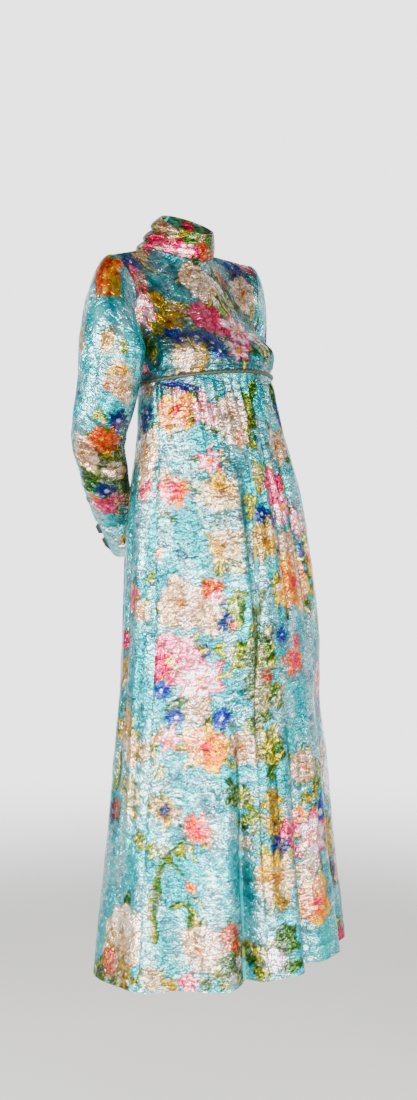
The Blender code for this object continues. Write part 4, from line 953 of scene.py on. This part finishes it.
def bodice_panel(names, grid, rows, armholes, table, garden, nodes, seed):
    """Finishes a bodice panel: its creases, edges that turn the way their neighbours' do, and its print. The
    armholes are columns of the grid with their side. A back panel has one, and is mirrored as well."""
    is_back = len(armholes) == 1
    flat = flat_places(grid, 0 if is_back else grid.shape[1] // 2)
    if is_back:
        flat[..., 0] -= BACK_PRINT_START
    up = rows[:, None] + 0.0 * flat[..., 0]
    from_side = from_sides(flat)
    calm = ramp(from_side, 0.0, 0.012) * ramp(1.0 - up, 0.0, 0.06) * ramp(up, 0.0, 0.03)
    grid = grid - inward(grid) * ((creased(flat, table) + loose(flat, seed)) * calm)[..., None]
    inside = inward(grid)
    inside[0] = unit(inside[0] * LEVEL)
    shoulder = np.abs(grid[-1, :, 0]) > -neckline(NECK_POINT)[0] - 1e-6
    inside[-1] = np.where(shoulder[:, None], (0.0, 0.0, -1.0), towards(grid[-1], NECK_INSIDE))
    if is_back:
        inside[:, -1] = unit(inside[:, -1] * (0.0, 1.0, 1.0))
    outer = grid.copy()
    at_hole, at_side = rows > SIDE_SHARE - 1e-9, rows < SIDE_SHARE + 1e-9
    for column, side in armholes.items():
        edge = grid[:, column]
        hole = towards(edge, ARMHOLE_CENTRE * (side, 1.0, 1.0))
        seam = unit((BODY_MIDDLE - edge) * LEVEL)
        both = (at_hole & at_side)[:, None]
        inside[:, column] = np.where(both, unit(hole + seam), np.where(at_hole[:, None], hole, seam))
        beside = grid[:, 1] if column == 0 else grid[:, -2]
        outer[at_side, column] += unit(beside - edge)[at_side] * SEAM_GAP
        outer[at_hole, column] -= unit(ARMHOLE_OUT) * (side, 1.0, 1.0) * SEAM_GAP / 2.0
    outer[-1] += unit(grid[-2] - grid[-1]) * SEAM_GAP / 2.0
    rolled = BODICE_ROLL * (1.0 - ramp(from_side, 0.0, 0.006)) * ramp(from_side, -0.001, 0.0004)
    outer = outer + inside * rolled[..., None]
    for left in (False, True) if is_back else (False,):
        faces = [mirrored(points) if left else points for points in (outer, inside)]
        piece = brocade_piece(names[left], *faces, flat, garden, DARK_TEAL_AND_SHADE, seed + (7 if left else 0),
                              nodes[left])
    return outer


rows = np.linspace(0.0, 1.0, PANEL_ROWS * FINENESS + 1)
across = np.linspace(0.0, 1.0, FRONT_COLUMNS * FINENESS + 1)
top = shoulder_and_neck(np.minimum(across, 1.0 - across) * 2.0, 2.0 * FRONT_SHOULDER, 0.0)
top = np.where((across <= 0.5)[:, None], top, mirrored(top))
left = side_and_armhole(rows, True)
bottom = above_cord(RIGHT_SEAM + (LEFT_SEAM - RIGHT_SEAM) * across)
grid = draped(bottom, top, left, mirrored(left), across, rows, FINENESS)
clear_of_sides = ramp(across, 0.0, 0.12) * (1.0 - ramp(across, 0.88, 1.0))
clear_of_ends = (ramp(rows, 0.0, 0.20) * (1.0 - ramp(rows, 0.72, 1.0)))[:, None]
grid[..., 1] -= swelling(grid, *BUST) * clear_of_ends * clear_of_sides
blouse = BLOUSE[2] * bump((rows - BLOUSE[0]) / BLOUSE[1]) * ramp(rows, 0.0, 0.06)
away = unit((grid - WAIST_MIDDLE) * LEVEL)
grid += away * (blouse[:, None] * clear_of_sides)[..., None]
bodice_panel(["bodice_front_panel"], grid, rows, {0: 1.0, -1: -1.0}, BUST_GATHERS, FRONT_BODICE_GARDEN,
             ["bodice_front"], 21)

across = np.linspace(0.0, 1.0, BACK_COLUMNS * FINENESS + 1)
bottom = above_cord(RIGHT_SEAM + (BACK_TURN - RIGHT_SEAM) * across)
top = shoulder_and_neck(across, BACK_SHOULDER, 1.0)
centre = np.array([bottom[-1], *CENTRE_BACK, top[-1]])
right = spline(rows, np.linspace(0.0, 1.0, len(centre)), centre)
grid = draped(bottom, top, side_and_armhole(rows, False), right, across, rows, FINENESS)
clear_of_sides = ramp(across, 0.0, 0.3) * (1.0 - ramp(across, 0.7, 1.0))
clear_of_ends = (ramp(rows, 0.0, 0.3) * (1.0 - ramp(rows, 0.75, 1.0)))[:, None]
grid[..., 1] += swelling(grid, *BLADE) * clear_of_ends * clear_of_sides
grid[..., 0] -= (ZIP_WIDTH / 2.0 + SEAM_GAP) * ramp(across, 0.0, 1.0)
back_edge = bodice_panel(["bodice_back_right_panel", "bodice_back_left_panel"], grid, rows, {0: 1.0},
                         BACK_CREASES, BACK_BODICE_GARDEN, ["bodice_back_right", "bodice_back_left"],
                         27)[:, -1]


# COLLAR
# A high bias band folded loosely on itself, sewn to the neckline and opened by the zip. Its three soft rolls
# sag at the back and sides. The upper two run out before the centre front, and the lowest is smooth there.
COLLAR_CLOTH = 0.0030
COLLAR_SEAT = 0.0008
COLLAR_CENTRE = (0.0, -0.019)
COLLAR_RADIUS = (0.046, 0.049)
COLLAR_FRONT = 0.019
COLLAR_BACK = 0.060
ROLL_HEIGHT = 0.0080
FRONT_BULGE = 0.0045
COLLAR_ROWS = 90
COLLAR_COLUMNS = 216
OLIVE_TEAL = ("2F6F5C", "6E9A50", "164038")
# Place on the way round from the centre front, positive on the right, and the heights of the two creases
COLLAR_CREASES = np.array([
    (-1.00, 0.34, 0.67), (-0.75, 0.31, 0.65), (-0.52, 0.50, 0.78), (-0.40, 0.74, 0.90), (-0.30, 1.00, 1.00),
    (0.15, 1.00, 1.00), (0.21, 0.84, 0.94), (0.27, 0.67, 0.88), (0.35, 0.50, 0.82), (0.56, 0.36, 0.70),
    (0.80, 0.30, 0.64), (1.00, 0.34, 0.67),
])
COLLAR_GARDEN = sown(-200.0, -30.0, 0.0, 90.0, 46.0, 16) + sown(130.0, 200.0, 0.0, 90.0, 46.0, 17) + [
    ("spray_dark_leaf", 70, 45, 30, 0), ("spray_dark_leaf", 30, 10, 26, 0), ("spray", 100, 62, 26, 10),
    ("spray", 115, 10, 25, -170), ("spray_gold_leaf", 135, 5, 21, -175),
    ("spray_gold_leaf", 50, 65, 36, -175), ("beige_peony", 90, 70, 26, 160),
    ("cream_mum", 60, 40, 15, -175), ("rose_lily", 96, 16, 30, 160), ("rose_lily", 62, 14, 26, 10),
    ("pink_lily", 35, 15, 20, -175), ("rose_lily", 12, 22, 17, -175), ("beige_peony", -2, 36, 16, 175),
    ("rust_carnation", 0, 25, 13, 180), ("rust_carnation", -20, 5, 24, -175),
    ("dark_leaf", 25, 30, 14, 170), ("spray_dark_leaf", -15, 35, 18, -120),
]


def collar_plain(place, height):
    """Straight lines from the neckline at height 0 to an oval at height 1, which is higher at the back."""
    turn = np.radians(270.0 - 180.0 * place)
    front = (1.0 - np.sin(turn)) / 2.0
    x = COLLAR_CENTRE[0] + COLLAR_RADIUS[0] * np.cos(turn)
    y = COLLAR_CENTRE[1] + COLLAR_RADIUS[1] * np.sin(turn)
    top = np.stack([x, y, COLLAR_BACK + (COLLAR_FRONT - COLLAR_BACK) * front], axis=-1)
    base = neckline(place) + (0.0, 0.0, COLLAR_SEAT)
    return base + (top - base) * np.asarray(height)[..., None]


def surface_normal(surface, across, along, step=1e-3):
    """Unit vectors square to a surface, from its differences over a small step each way."""
    side = surface(across + step, along) - surface(across - step, along)
    down = surface(across, along + step) - surface(across, along - step)
    return unit(np.cross(side, down))


def collar_out(place, height):
    """How far the collar's cloth stands out: sin(pi t ** 0.6) ** 0.8 over each roll, where t runs from 0 to
    1 between its creases. A narrow roll is less deep, and one as high as the collar is FRONT_BULGE deep."""
    lower, upper = (np.interp(place, COLLAR_CREASES[:, 0], COLLAR_CREASES[:, n]) for n in (1, 2))
    out = np.zeros(np.broadcast(place, height).shape)
    for low, high in ((0.0 * lower, lower), (lower, upper), (upper, 1.0 + 0.0 * upper)):
        thick = np.maximum(high - low, 1e-6)
        deep = ROLL_HEIGHT * np.minimum(thick / 0.3, 1.0) ** 0.7
        deep = deep + (FRONT_BULGE - ROLL_HEIGHT) * ramp(thick, 0.40, 0.95)
        share = np.clip((height - low) / thick, 0.0, 1.0)
        out = np.maximum(out, deep * np.sin(np.pi * share**0.6) ** 0.8)
    return out * (1.0 - 0.7 * ramp(np.abs(place), 0.90, 1.0))


def collar_surface(place, height):
    """Outer face of the collar: the plain band moved out by its rolls, which hang by a third of that."""
    out = collar_out(place, height)[..., None]
    rolled = collar_plain(place, height) - surface_normal(collar_plain, place, height) * out
    return rolled - out * (0.0, 0.0, 0.33)


height = np.linspace(0.0, 1.0, COLLAR_ROWS + 1)
width = np.linalg.norm(collar_plain(0.99 + 1e-3, height) - collar_plain(0.99, height), axis=-1) / 1e-3
place = np.linspace(-1.0, 1.0, COLLAR_COLUMNS + 1) * (1.0 - (ZIP_WIDTH / 2.0 + SEAM_GAP) / width)[:, None]
high = height[:, None] + 0.0 * place
outer = collar_surface(place, high)
inside = surface_normal(collar_plain, place, high)
inside[0] = towards(outer[0], NECK_INSIDE)
flat = flat_places(outer, COLLAR_COLUMNS // 2)
collar = brocade_piece("roll_collar", outer, inside, flat, COLLAR_GARDEN, OLIVE_TEAL, 33, "collar",
                       COLLAR_CLOTH)


# SLEEVES
# Long sleeves set in with a rounded head and sewn along one underarm seam, roomy to the elbow and narrower
# to the cuff. Both arms go back, so the cloth drags from the shoulder and breaks into folds at the elbow.

# x, y, z down the right arm, its half width across and its half width from front to back
RIGHT_ARM = np.array([
    (-0.191, -0.031, -0.178, 0.043, 0.072), (-0.192, -0.018, -0.260, 0.045, 0.061),
    (-0.179, 0.018, -0.336, 0.045, 0.051), (-0.144, 0.044, -0.393, 0.042, 0.045),
    (-0.106, 0.071, -0.442, 0.039, 0.042), (-0.077, 0.091, -0.476, 0.036, 0.037),
])
# The left arm, written as if it were on the right
LEFT_ARM = np.array([
    (-0.180, 0.028, -0.178, 0.042, 0.058), (-0.181, 0.064, -0.245, 0.045, 0.056),
    (-0.176, 0.102, -0.310, 0.045, 0.050), (-0.150, 0.128, -0.370, 0.042, 0.045),
    (-0.122, 0.141, -0.422, 0.039, 0.042), (-0.100, 0.146, -0.460, 0.036, 0.037),
])
RIGHT_WRIST = (-0.035, 0.097, -0.534)
LEFT_WRIST = (-0.066, 0.146, -0.521)
# How far the head stands out, rises, and drops before the first oval
HEAD_OUT, HEAD_RISE, HEAD_DROP = 0.031, 0.008, 0.045
# Length over which the sleeve narrows to its cuff, then the depth and length of the roll at that seam
TURN_IN, CUFF_ROLL, CUFF_ROLL_LONG = 0.008, 0.0016, 0.005
HEAD_RINGS = 33
ARM_RINGS = 178
SLEEVE_COLUMNS = 126
# The underarm seam is this far from half a turn on either side
SLEEVE_END = 0.4995
CUFF_RADIUS = 0.0345

# mm on the flat sleeve, round it from the shoulder line towards the front and down from the armhole
SLEEVE_CREASES = [
    (-20, 30, -40, 190, 8, 12, 2.4), (30, 40, 10, 230, -6, 12, -2.6), (60, 60, 40, 260, 10, 11, 2.8),
    (90, 20, 96, 170, -8, 9, -3.0), (-70, 40, -60, 220, 8, 12, -2.4), (-110, 60, -90, 240, -6, 12, 2.2),
    (10, 236, 120, 268, 8, 9, 3.4), (-10, 262, 120, 290, -8, 8, -3.4), (0, 282, 118, 312, 9, 9, 3.2),
    (-30, 300, 100, 330, -7, 8, -3.0), (-20, 330, 96, 352, 6, 9, 2.6), (-60, 352, 60, 372, 5, 8, -2.4),
    (-96, 250, -30, 300, 6, 10, 2.4), (-90, 300, -20, 350, -6, 9, -2.2), (-70, 380, 50, 396, 4, 8, 2.0),
    (-60, 404, 60, 414, -4, 7, -1.8), (-50, 424, 60, 430, 3, 7, 1.6),
]
RIGHT_SLEEVE_GARDEN = sown(-180.0, -50.0, 0.0, 560.0, 90.0, 18)
RIGHT_SLEEVE_GARDEN += sown(110.0, 190.0, 0.0, 560.0, 90.0, 19) + [
    ("spray_dark_leaf", 35, 325, 34, 0), ("spray_dark_leaf", 58, 350, 32, 0),
    ("spray_dark_leaf", 25, 362, 28, 0), ("spray_dark_leaf", 70, 378, 28, 20),
    ("spray_dark_leaf", 90, 330, 26, 0), ("spray", 40, 345, 24, -20), ("spray_leaf", 60, 115, 12, 80),
    ("spray", 35, 230, 14, 0), ("blue_leaf", 70, 225, 21, 80), ("spray", 45, 310, 34, 15),
    ("spray_dark_leaf", 60, 335, 25, 35), ("gold_leaf", 65, 300, 23, 45), ("dark_leaf", 15, 380, 20, -5),
    ("spray_gold_leaf", 75, 405, 19, 75), ("spray_dark_leaf", 15, 300, 21, 0),
    ("spray_dark_leaf", 55, 310, 20, -30), ("spray", 85, 295, 22, 75), ("spray_dark_leaf", 30, 345, 23, 35),
    ("spray", 55, 370, 16, 15), ("spray_dark_leaf", 70, 330, 17, 15), ("spray_dark_leaf", 50, 395, 13, 35),
    ("rust_carnation", 10, 35, 27, -15), ("orange_poppy", 25, 40, 19, -25), ("gold_daisy", 35, 40, 15, -25),
    ("orange_poppy", 25, 10, 13, -50), ("cream_mum", 30, 115, 16, -5), ("cream_mum", 60, 160, 20, 75),
    ("beige_peony", 65, 180, 18, 70), ("beige_peony", 40, 180, 11, 0), ("navy_aster", 70, 225, 18, -15),
    ("beige_peony", 15, 300, 30, -20), ("beige_peony", 70, 330, 22, 15),
    ("rust_carnation", 55, 265, 26, -15), ("navy_aster", 45, 375, 21, 0), ("pink_lily", 20, 415, 24, -20),
    ("pink_peony", 55, 400, 18, 10), ("orange_poppy", 15, 400, 14, -30), ("gold_daisy", -35, 120, 19, 0),
    ("rust_carnation", 45, 265, 21, -20), ("rose_lily", 35, 415, 22, -10),
]
LEFT_SLEEVE_GARDEN = sown(-180.0, 180.0, 0.0, 560.0, 84.0, 20)


def sleeve_rings(arm, wrist, where, places):
    """Ovals square to the arm at lengths along it, with their centres and the arm's first direction."""
    table = np.vstack([arm, (*wrist, *arm[-1][3:])])
    knots = lengths_along(table[:, :3])
    where = where * knots[-2]
    values = spline(where, knots, table)
    along = unit((spline(where + 1e-4, knots, table) - values)[:, :3])
    along[-1] = unit(table[-1, :3] - table[-2, :3])
    out = unit(np.array((-1.0, 0.0, 0.0)) + along * along[:, :1])
    forward = np.cross(out, along)
    turn_in = ramp(where, where[-1] - TURN_IN, where[-1])[:, None]
    widths = values[:, 3:] + (CUFF_RADIUS - values[:, 3:]) * turn_in
    turn = 2.0 * np.pi * places[None, :, None]
    centres = values[:, None, :3]
    rings = centres + out[:, None] * np.cos(turn) * widths[:, None, :1]
    return rings + forward[:, None] * np.sin(turn) * widths[:, None, 1:], centres, along[0]


def sleeve_piece(name, arm, wrist, mirror, node, garden, seed):
    """Cubic curves from the armhole over the head into the first oval, then the ovals down to the cuff."""
    places = np.linspace(-SLEEVE_END, SLEEVE_END, SLEEVE_COLUMNS + 1)
    rings, centres, along = sleeve_rings(arm, wrist, np.linspace(0.0, 1.0, ARM_RINGS), places)
    start = armhole(places)
    outer_side = (0.5 + 0.5 * np.cos(2.0 * np.pi * places))[:, None]
    bend = start + np.array((-HEAD_OUT, 0.0, 0.0)) * (0.25 + 0.75 * outer_side)
    bend = bend + np.array((0.0, 0.0, HEAD_RISE)) * outer_side**2
    above = rings[0] - along * HEAD_DROP * (0.15 + 0.85 * outer_side)
    share = np.linspace(0.0, 1.0, HEAD_RINGS + 1)[:-1, None, None]
    head = (1 - share) ** 3 * start + 3 * share * (1 - share) ** 2 * bend
    head = head + 3 * share**2 * (1 - share) * above + share**3 * rings[0]
    outer = np.concatenate([head, rings])
    inside = towards(outer, np.concatenate([head.mean(axis=1, keepdims=True), centres]))
    flat = flat_places(outer, SLEEVE_COLUMNS // 2)
    flat[..., 1] = 0.2 * flat[..., 1] + 0.8 * flat[..., 1].mean(axis=1, keepdims=True)
    up = flat[-1:, :, 1] - flat[..., 1]
    calm = ramp(flat[..., 1], 0.0, 0.02) * ramp(up, 0.0, 0.015)
    calm = calm * ramp(0.5 - np.abs(places), 0.0, 0.04)
    outer = outer - inside * ((creased(flat, SLEEVE_CREASES) + loose(flat, seed)) * calm)[..., None]
    outer = outer + inside * (CUFF_ROLL * (1.0 - ramp(up, 0.0, CUFF_ROLL_LONG)))[..., None]
    inside[0] = towards(start, ARMHOLE_CENTRE)
    outer[0] += unit(ARMHOLE_OUT) * SEAM_GAP
    if mirror:
        outer, inside = mirrored(outer), mirrored(inside)
    piece = brocade_piece(name, outer, inside, flat, garden, TURQUOISE, seed, node)


sleeve_piece("sleeve_right_set_in", RIGHT_ARM, RIGHT_WRIST, False, "sleeve_right", RIGHT_SLEEVE_GARDEN, 41)
sleeve_piece("sleeve_left_set_in", LEFT_ARM, LEFT_WRIST, True, "sleeve_left", LEFT_SLEEVE_GARDEN, 47)


# CUFFS
# A straight band round each wrist, slit at its outer back edge. The slit closes with a small snap over an
# underlap of plain dark green cloth, which shows as a dark strip.
CUFF_SLIT = 0.0085
CUFF_SLIT_TURN = 38.0
CUFF_ROWS = 30
CUFF_COLUMNS = 96
UNDERLAP_WIDTH = 0.0200
UNDERLAP_CLOTH = 0.0014
UNDERLAP_ROWS = 48
UNDERLAP_COLUMNS = 24
# The underlap starts and ends this share of the cuff's height inside it
UNDERLAP_INSET = 0.02
# How far the underlap bows out through the slit, the half width of the bow, and where the snap holds it down
BOW_OUT, BOW_WIDE, SNAP_SHARE = 0.0090, 0.0054, 0.42
# The solid cuff has 16 flats round the wrist, and the underlap lies inside them
CUFF_FLATS = 16
PALE_TURQUOISE = ("6CCAD2", "B4E8EA", "3AA0AE")
CUFF_CREASES = [
    (-90, 12, -20, 16, 2, 4, 1.2), (-60, 28, 30, 24, -2, 4, -1.4), (-10, 40, 80, 34, 3, 4, 1.3),
    (-80, 48, 0, 52, 2, 4, -1.2), (10, 12, 90, 20, -2, 4, -1.2), (-100, 38, -50, 34, 1, 4, 1.0),
]
CUFF_GARDEN = sown(-110.0, 30.0, 0.0, 70.0, 48.0, 21) + [
    ("gold_daisy", 55, 40, 15, 160), ("blue_leaf", 75, 20, 10, 150),
]

# Plain-weave cotton: matt, very dark green. Its threads of 0.6 mm are drawn as bands 4 mm apart, painted
# lighter on top as a highlight and darker between as shade
dark_cotton = ribbed_cloth_painted_light("dark_green_cotton_woven", "080E0B", "141E19", 0.8, 0.4, 0.0004,
                           {"Scale": 80.0, "Distortion": 2.0})

# Nickel-plated brass: bright, slightly warm, with soft scuffs about 1 mm apart
nickel, tree, shader = new_material("nickel_plated_brass")
where = add_node(tree, "TexCoord")
scuffs = add_node(tree, "TexNoise", {"Vector": where.outputs["Object"], "Scale": 900.0, "Detail": 3.0})
dull = add_node(tree, "MapRange", [scuffs, 0.3, 0.7, 0.16, 0.36])
plug(shader, {"Roughness": dull, "Base Color": "D3CFC6", "Metallic": 1.0})


def refinish(name, material):
    """Gives a CAD node that stays a better material."""
    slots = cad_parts[name].data.materials
    slots.clear()
    slots.append(material)


def cuff_band(arm, wrist, radius, first, last, columns, shares):
    """Part of a tube round the wrist between two turns in degrees, from the outer side towards the back."""
    start = np.array(arm[-1][:3])
    along = unit(np.array(wrist) - start)
    out = unit(np.array((-1.0, 0.0, 0.0)) + along * along[0])
    start = start + along * SEAM_GAP
    turn = np.radians(np.linspace(first, last, columns + 1))[:, None]
    ring = (out * np.cos(turn) + np.cross(along, out) * np.sin(turn)) * radius
    centres = (start + shares[:, None] * (np.array(wrist) - start))[:, None]
    return centres + ring, ring + 0.0 * centres


def cuff_pieces(side, arm, wrist, mirror, seed):
    """Cuff band open along its slit and the underlap inside it, which bows out through the slit."""
    slit = np.degrees(CUFF_SLIT / 2.0 / CUFF_RADIUS)
    shares = np.linspace(0.0, 1.0, CUFF_ROWS + 1)
    outer, ring = cuff_band(arm, wrist, CUFF_RADIUS, CUFF_SLIT_TURN + slit, CUFF_SLIT_TURN + 360.0 - slit,
                            CUFF_COLUMNS, shares)
    inside = -unit(ring)
    flat = flat_places(outer, CUFF_COLUMNS // 2)
    edge = np.minimum(np.minimum(flat[..., 1], flat[-1:, :, 1] - flat[..., 1]), from_sides(flat))
    outer = outer - inside * (creased(flat, CUFF_CREASES) * ramp(edge, 0.0, 0.006))[..., None]
    rolled = 0.0008 * (1.0 - ramp(edge, 0.0, 0.002))
    rolled = np.maximum(rolled, CUFF_ROLL * (1.0 - ramp(flat[..., 1], 0.0, 0.004)))
    outer = outer + inside * rolled[..., None]

    lap_radius = (CUFF_RADIUS - CLOTH) * np.cos(np.pi / CUFF_FLATS) - SEAM_GAP
    half = np.degrees(UNDERLAP_WIDTH / 2.0 / lap_radius)
    share = np.linspace(UNDERLAP_INSET, 1.0 - UNDERLAP_INSET, UNDERLAP_ROWS + 1)
    lap, lap_ring = cuff_band(arm, wrist, lap_radius, CUFF_SLIT_TURN - half, CUFF_SLIT_TURN + half,
                              UNDERLAP_COLUMNS, share)
    lap_inside = -unit(lap_ring)
    beside = np.linspace(-0.5, 0.5, UNDERLAP_COLUMNS + 1) * UNDERLAP_WIDTH
    free = ramp(np.abs(share - SNAP_SHARE), 0.05, 0.10) * ramp(share, 0.0, 0.12)
    free = free * (1.0 - 0.6 * ramp(share, 0.70, 0.95))
    lap = lap - lap_inside * (BOW_OUT * bump(beside / BOW_WIDE) * free[:, None])[..., None]
    lap_flat = flat_places(lap, UNDERLAP_COLUMNS // 2)
    if mirror:
        outer, inside, lap, lap_inside = (mirrored(points) for points in (outer, inside, lap, lap_inside))
    piece = brocade_piece(f"cuff_{side}_band", outer, inside, flat, CUFF_GARDEN, PALE_TURQUOISE, seed,
                          f"cuff_{side}")
    piece = cloth_piece(f"underlap_{side}", lap, lap_inside, UNDERLAP_CLOTH, 3, lap_flat, None,
                        [dark_cotton], [f"cuff_underlap_{side}"])
    refinish(f"cuff_snap_{side}", nickel)


cuff_pieces("right", RIGHT_ARM, RIGHT_WRIST, False, 51)
cuff_pieces("left", LEFT_ARM, LEFT_WRIST, True, 57)


# BACK ZIP
# A nylon coil zip from the top edge of the collar to 0.18 m below the empire seam: two woven tapes that show
# as narrow lips, the meshed coil between them, and a slider with its pull hanging down.
ZIP_CLOTH = 0.0016
ZIP_STEP = 0.002
# Steps along the zip's outer face for each one of its inner face
ZIP_COARSE = 5
TOOTH_PITCH = 0.0023
TOOTH_LONG = 0.0016
# A tooth's lowest and highest level, its reach past the middle on its far and its own side, and its taper
TOOTH_LEVELS = (-0.0004, 0.0007)
TOOTH_REACH = (-0.0012, 0.0007)
TOOTH_TAPER = 0.75

# Woven polyester tape: fine cross ribs of 0.5 mm, drawn 3 mm apart, with a dry sheen painted light on their
# tops and painted shade between them
tape = ribbed_cloth_painted_light("turquoise_polyester_tape_woven", "2E7C84", "5BAAB0", 0.6, 0.4, 0.0004,
                    {"Scale": 105.0, "Distortion": 1.0}, bands_direction="Y")

# Moulded nylon coil: smooth, milky turquoise, a little shine
nylon, tree, shader = new_material("turquoise_nylon_moulded")
where = add_node(tree, "TexCoord")
cloud = add_node(tree, "TexNoise", {"Vector": where.outputs["Object"], "Scale": 500.0})
tint = add_node(tree, "Mix", {0: cloud, 6: "3D8E96", 7: "7CC0C4"}, data_type="RGBA")
plug(shader, {"Base Color": tint.outputs[2], "Roughness": 0.35})


def along_zip(where, run, values):
    """Values at lengths along the zip, straight from one point of a line to the next."""
    return np.stack([np.interp(where, run, values[:, axis]) for axis in range(3)], axis=-1)


line = np.concatenate([
    collar_surface(np.ones(60), np.linspace(1.0, 0.0, 61)[:-1]), back_edge[::-1] * (0.0, 1.0, 1.0),
    skirt(np.full(80, BACK_TURN), np.linspace(0.0, ZIP_DROP, 80)),
])
run = lengths_along(line)
even = np.linspace(0.0, run[-1], int(run[-1] / ZIP_STEP) + 1)
line = along_zip(even, run, line)
along = unit(np.gradient(line, axis=0))
out = unit(np.stack([0.0 * along[:, 0], -along[:, 2], along[:, 1]], axis=-1))
# Across the zip each tape rises to a lip, dips towards the coil and turns down at its outer edge
lip = np.array((-1.0, -0.86, -0.30, 0.30, 0.86, 1.0)) * ZIP_WIDTH / 2.0
raised = np.array((-0.4, 0.0, -0.1, -0.1, 0.0, -0.4)) * 0.001
ribbon = line[:, None] - out[:, None] * (CLOTH - ZIP_CLOTH) / 2.0 + out[:, None] * raised[None, :, None]
ribbon = ribbon + lip[None, :, None] * np.array((1.0, 0.0, 0.0))
ribbon = ribbon[: (len(ribbon) - 1) // ZIP_COARSE * ZIP_COARSE + 1]
ribbon_in = np.broadcast_to(-out[: len(ribbon), None], ribbon.shape)
cloth_piece("zip_tapes", ribbon, ribbon_in, ZIP_CLOTH * 0.9, ZIP_COARSE, flat_places(ribbon, 2), None,
            [tape], ["back_zip"])

# Each tooth is a block 1.6 mm long and 1.1 mm high that reaches 1.9 mm across from its side
count = int(run[-1] / TOOTH_PITCH) - 1
number = np.arange(count)
spot, way, up = (along_zip((number + 0.5) * TOOTH_PITCH, even, values) for values in (line, along, out))
side = np.where(number % 2 == 0, 1.0, -1.0)[:, None] * np.array((1.0, 0.0, 0.0))
near, far = TOOTH_REACH
corners = []
for high, share in zip(TOOTH_LEVELS, (1.0, TOOTH_TAPER)):
    for forward, reach in ((-0.5, near), (-0.5, far), (0.5, far), (0.5, near)):
        corners.append(spot + way * forward * TOOTH_LONG * share + side * reach * share + up * high)
verts = np.stack(corners, axis=1).reshape(-1, 3)
block = np.array([(0, 1, 2, 3), (7, 6, 5, 4), (0, 4, 5, 1), (1, 5, 6, 2), (2, 6, 7, 3), (3, 7, 4, 0)])
faces = block[None] + 8 * number[:, None, None]
faces = np.where((number % 2 == 1)[:, None, None], faces, faces[..., ::-1]).reshape(-1, 4).tolist()
sew_on("zip_teeth", verts, faces, [nylon], [], sharp=30.0)
for name in ("back_zip_slider", "back_zip_pull"):
    refinish(name, nickel)


# FLOOR, LIGHT AND CAMERA
# A plain pale floor, 0.22 m under the hem, fades into a near-white room. Seven narrow panes of a soft window
# stand in an arc to the left of the camera and behind it, and a broad dim one to its right.
FLOOR_LEVEL = -1.50
FLOOR_HALF = 3.0
# Turn of each window pane round the dress in degrees from +x, and its radiance
WINDOW_PANES = ((148, 72.0), (167, 82.0), (186, 62.0), (206, 52.0), (226, 55.0), (246, 61.0), (266, 68.0))
WINDOW_AWAY = 4.2
CAMERA_PLACE = (-2.297, -2.370, -0.302)
CAMERA_DOWN = 4.12
CAMERA_TURN = -45.0

floor = bpy.data.meshes.new("floor")
corners = [(x * FLOOR_HALF, y * FLOOR_HALF, FLOOR_LEVEL) for x, y in ((-1, -1), (1, -1), (1, 1), (-1, 1))]
floor.from_pydata(corners, [], [(0, 1, 2, 3)])
# Matt floor paint, a little lit of its own, that is clear from 2.9 m out so that no edge shows
painted, tree, shader = new_material("pale_floor_paint")
where = add_node(tree, "TexCoord")
level = add_node(tree, "VectorMath", [where.outputs["Object"], (1.0, 1.0, 0.0)], operation="MULTIPLY")
away = add_node(tree, "VectorMath", [level], operation="LENGTH")
fade = add_node(tree, "MapRange", [away.outputs["Value"], 1.0, 2.9, 0.0, 1.0],
                interpolation_type="SMOOTHSTEP")
clear = add_node(tree, "BsdfTransparent")
joined = add_node(tree, "MixShader", [fade, shader, clear])
plug(tree.nodes["Material Output"], {"Surface": joined})
plug(shader, {"Base Color": "CFCDC9", "Roughness": 0.7, "Emission Color": "E6E4E2",
              "Emission Strength": 0.25})
floor.materials.append(painted)
floor = bpy.data.objects.new("floor", floor)
bpy.context.collection.objects.link(floor)


def window(name, turn, width, low, high, radiance):
    """Soft rectangle that stands on edge at a turn round the dress and faces it. Its power is pi * area *
    radiance. The camera doesn't see it."""
    lamp = bpy.data.lights.new(name, "AREA")
    lamp.shape, lamp.size, lamp.size_y = "RECTANGLE", width, high - low
    lamp.energy = np.pi * width * (high - low) * radiance
    stand = bpy.data.objects.new(name, lamp)
    bpy.context.collection.objects.link(stand)
    x, y = WINDOW_AWAY * np.cos(np.radians(turn)), WINDOW_AWAY * np.sin(np.radians(turn))
    stand.location = (x, y, (low + high) / 2.0)
    stand.rotation_euler = (np.radians(90.0), 0.0, np.radians(turn + 90.0))
    stand.visible_camera = False


for turn, radiance in WINDOW_PANES:
    window(f"window_pane_{turn}", turn, 0.52, -1.15, 0.35, radiance)
window("far_window", 312.0, 1.6, -1.1, 0.2, 7.0)

# The room: near-white behind the dress and to the left, duller towards the camera's right and overhead
sky = bpy.data.worlds.new("room")
sky.use_nodes = True
bpy.context.scene.world = sky
tree = sky.node_tree
where = add_node(tree, "TexCoord").outputs["Generated"]
side = add_node(tree, "VectorMath", [where, (0.80, 0.60, 0.0)], operation="DOT_PRODUCT")
height = add_node(tree, "SeparateXYZ", [where]).outputs["Z"]
behind = add_node(tree, "MapRange", [side.outputs["Value"], 0.62, 0.92, 0.30, 1.0],
                  interpolation_type="SMOOTHSTEP")
overhead = add_node(tree, "MapRange", [height, 0.18, 0.75, 1.0, 0.30], interpolation_type="SMOOTHSTEP")
both = add_node(tree, "Math", [behind, overhead], operation="MULTIPLY")
bright = add_node(tree, "Math", [both, 3.4], operation="MULTIPLY")
plug(tree.nodes["Background"], {"Strength": bright, "Color": "F1F1F3"})

camera = bpy.data.cameras.new("camera")
camera.lens, camera.sensor_width = 60.0, 36.0
camera = bpy.data.objects.new("camera", camera)
bpy.context.collection.objects.link(camera)
camera.location = CAMERA_PLACE
camera.rotation_euler = (np.radians(90.0 - CAMERA_DOWN), 0.0, np.radians(CAMERA_TURN))
bpy.context.scene.camera = camera
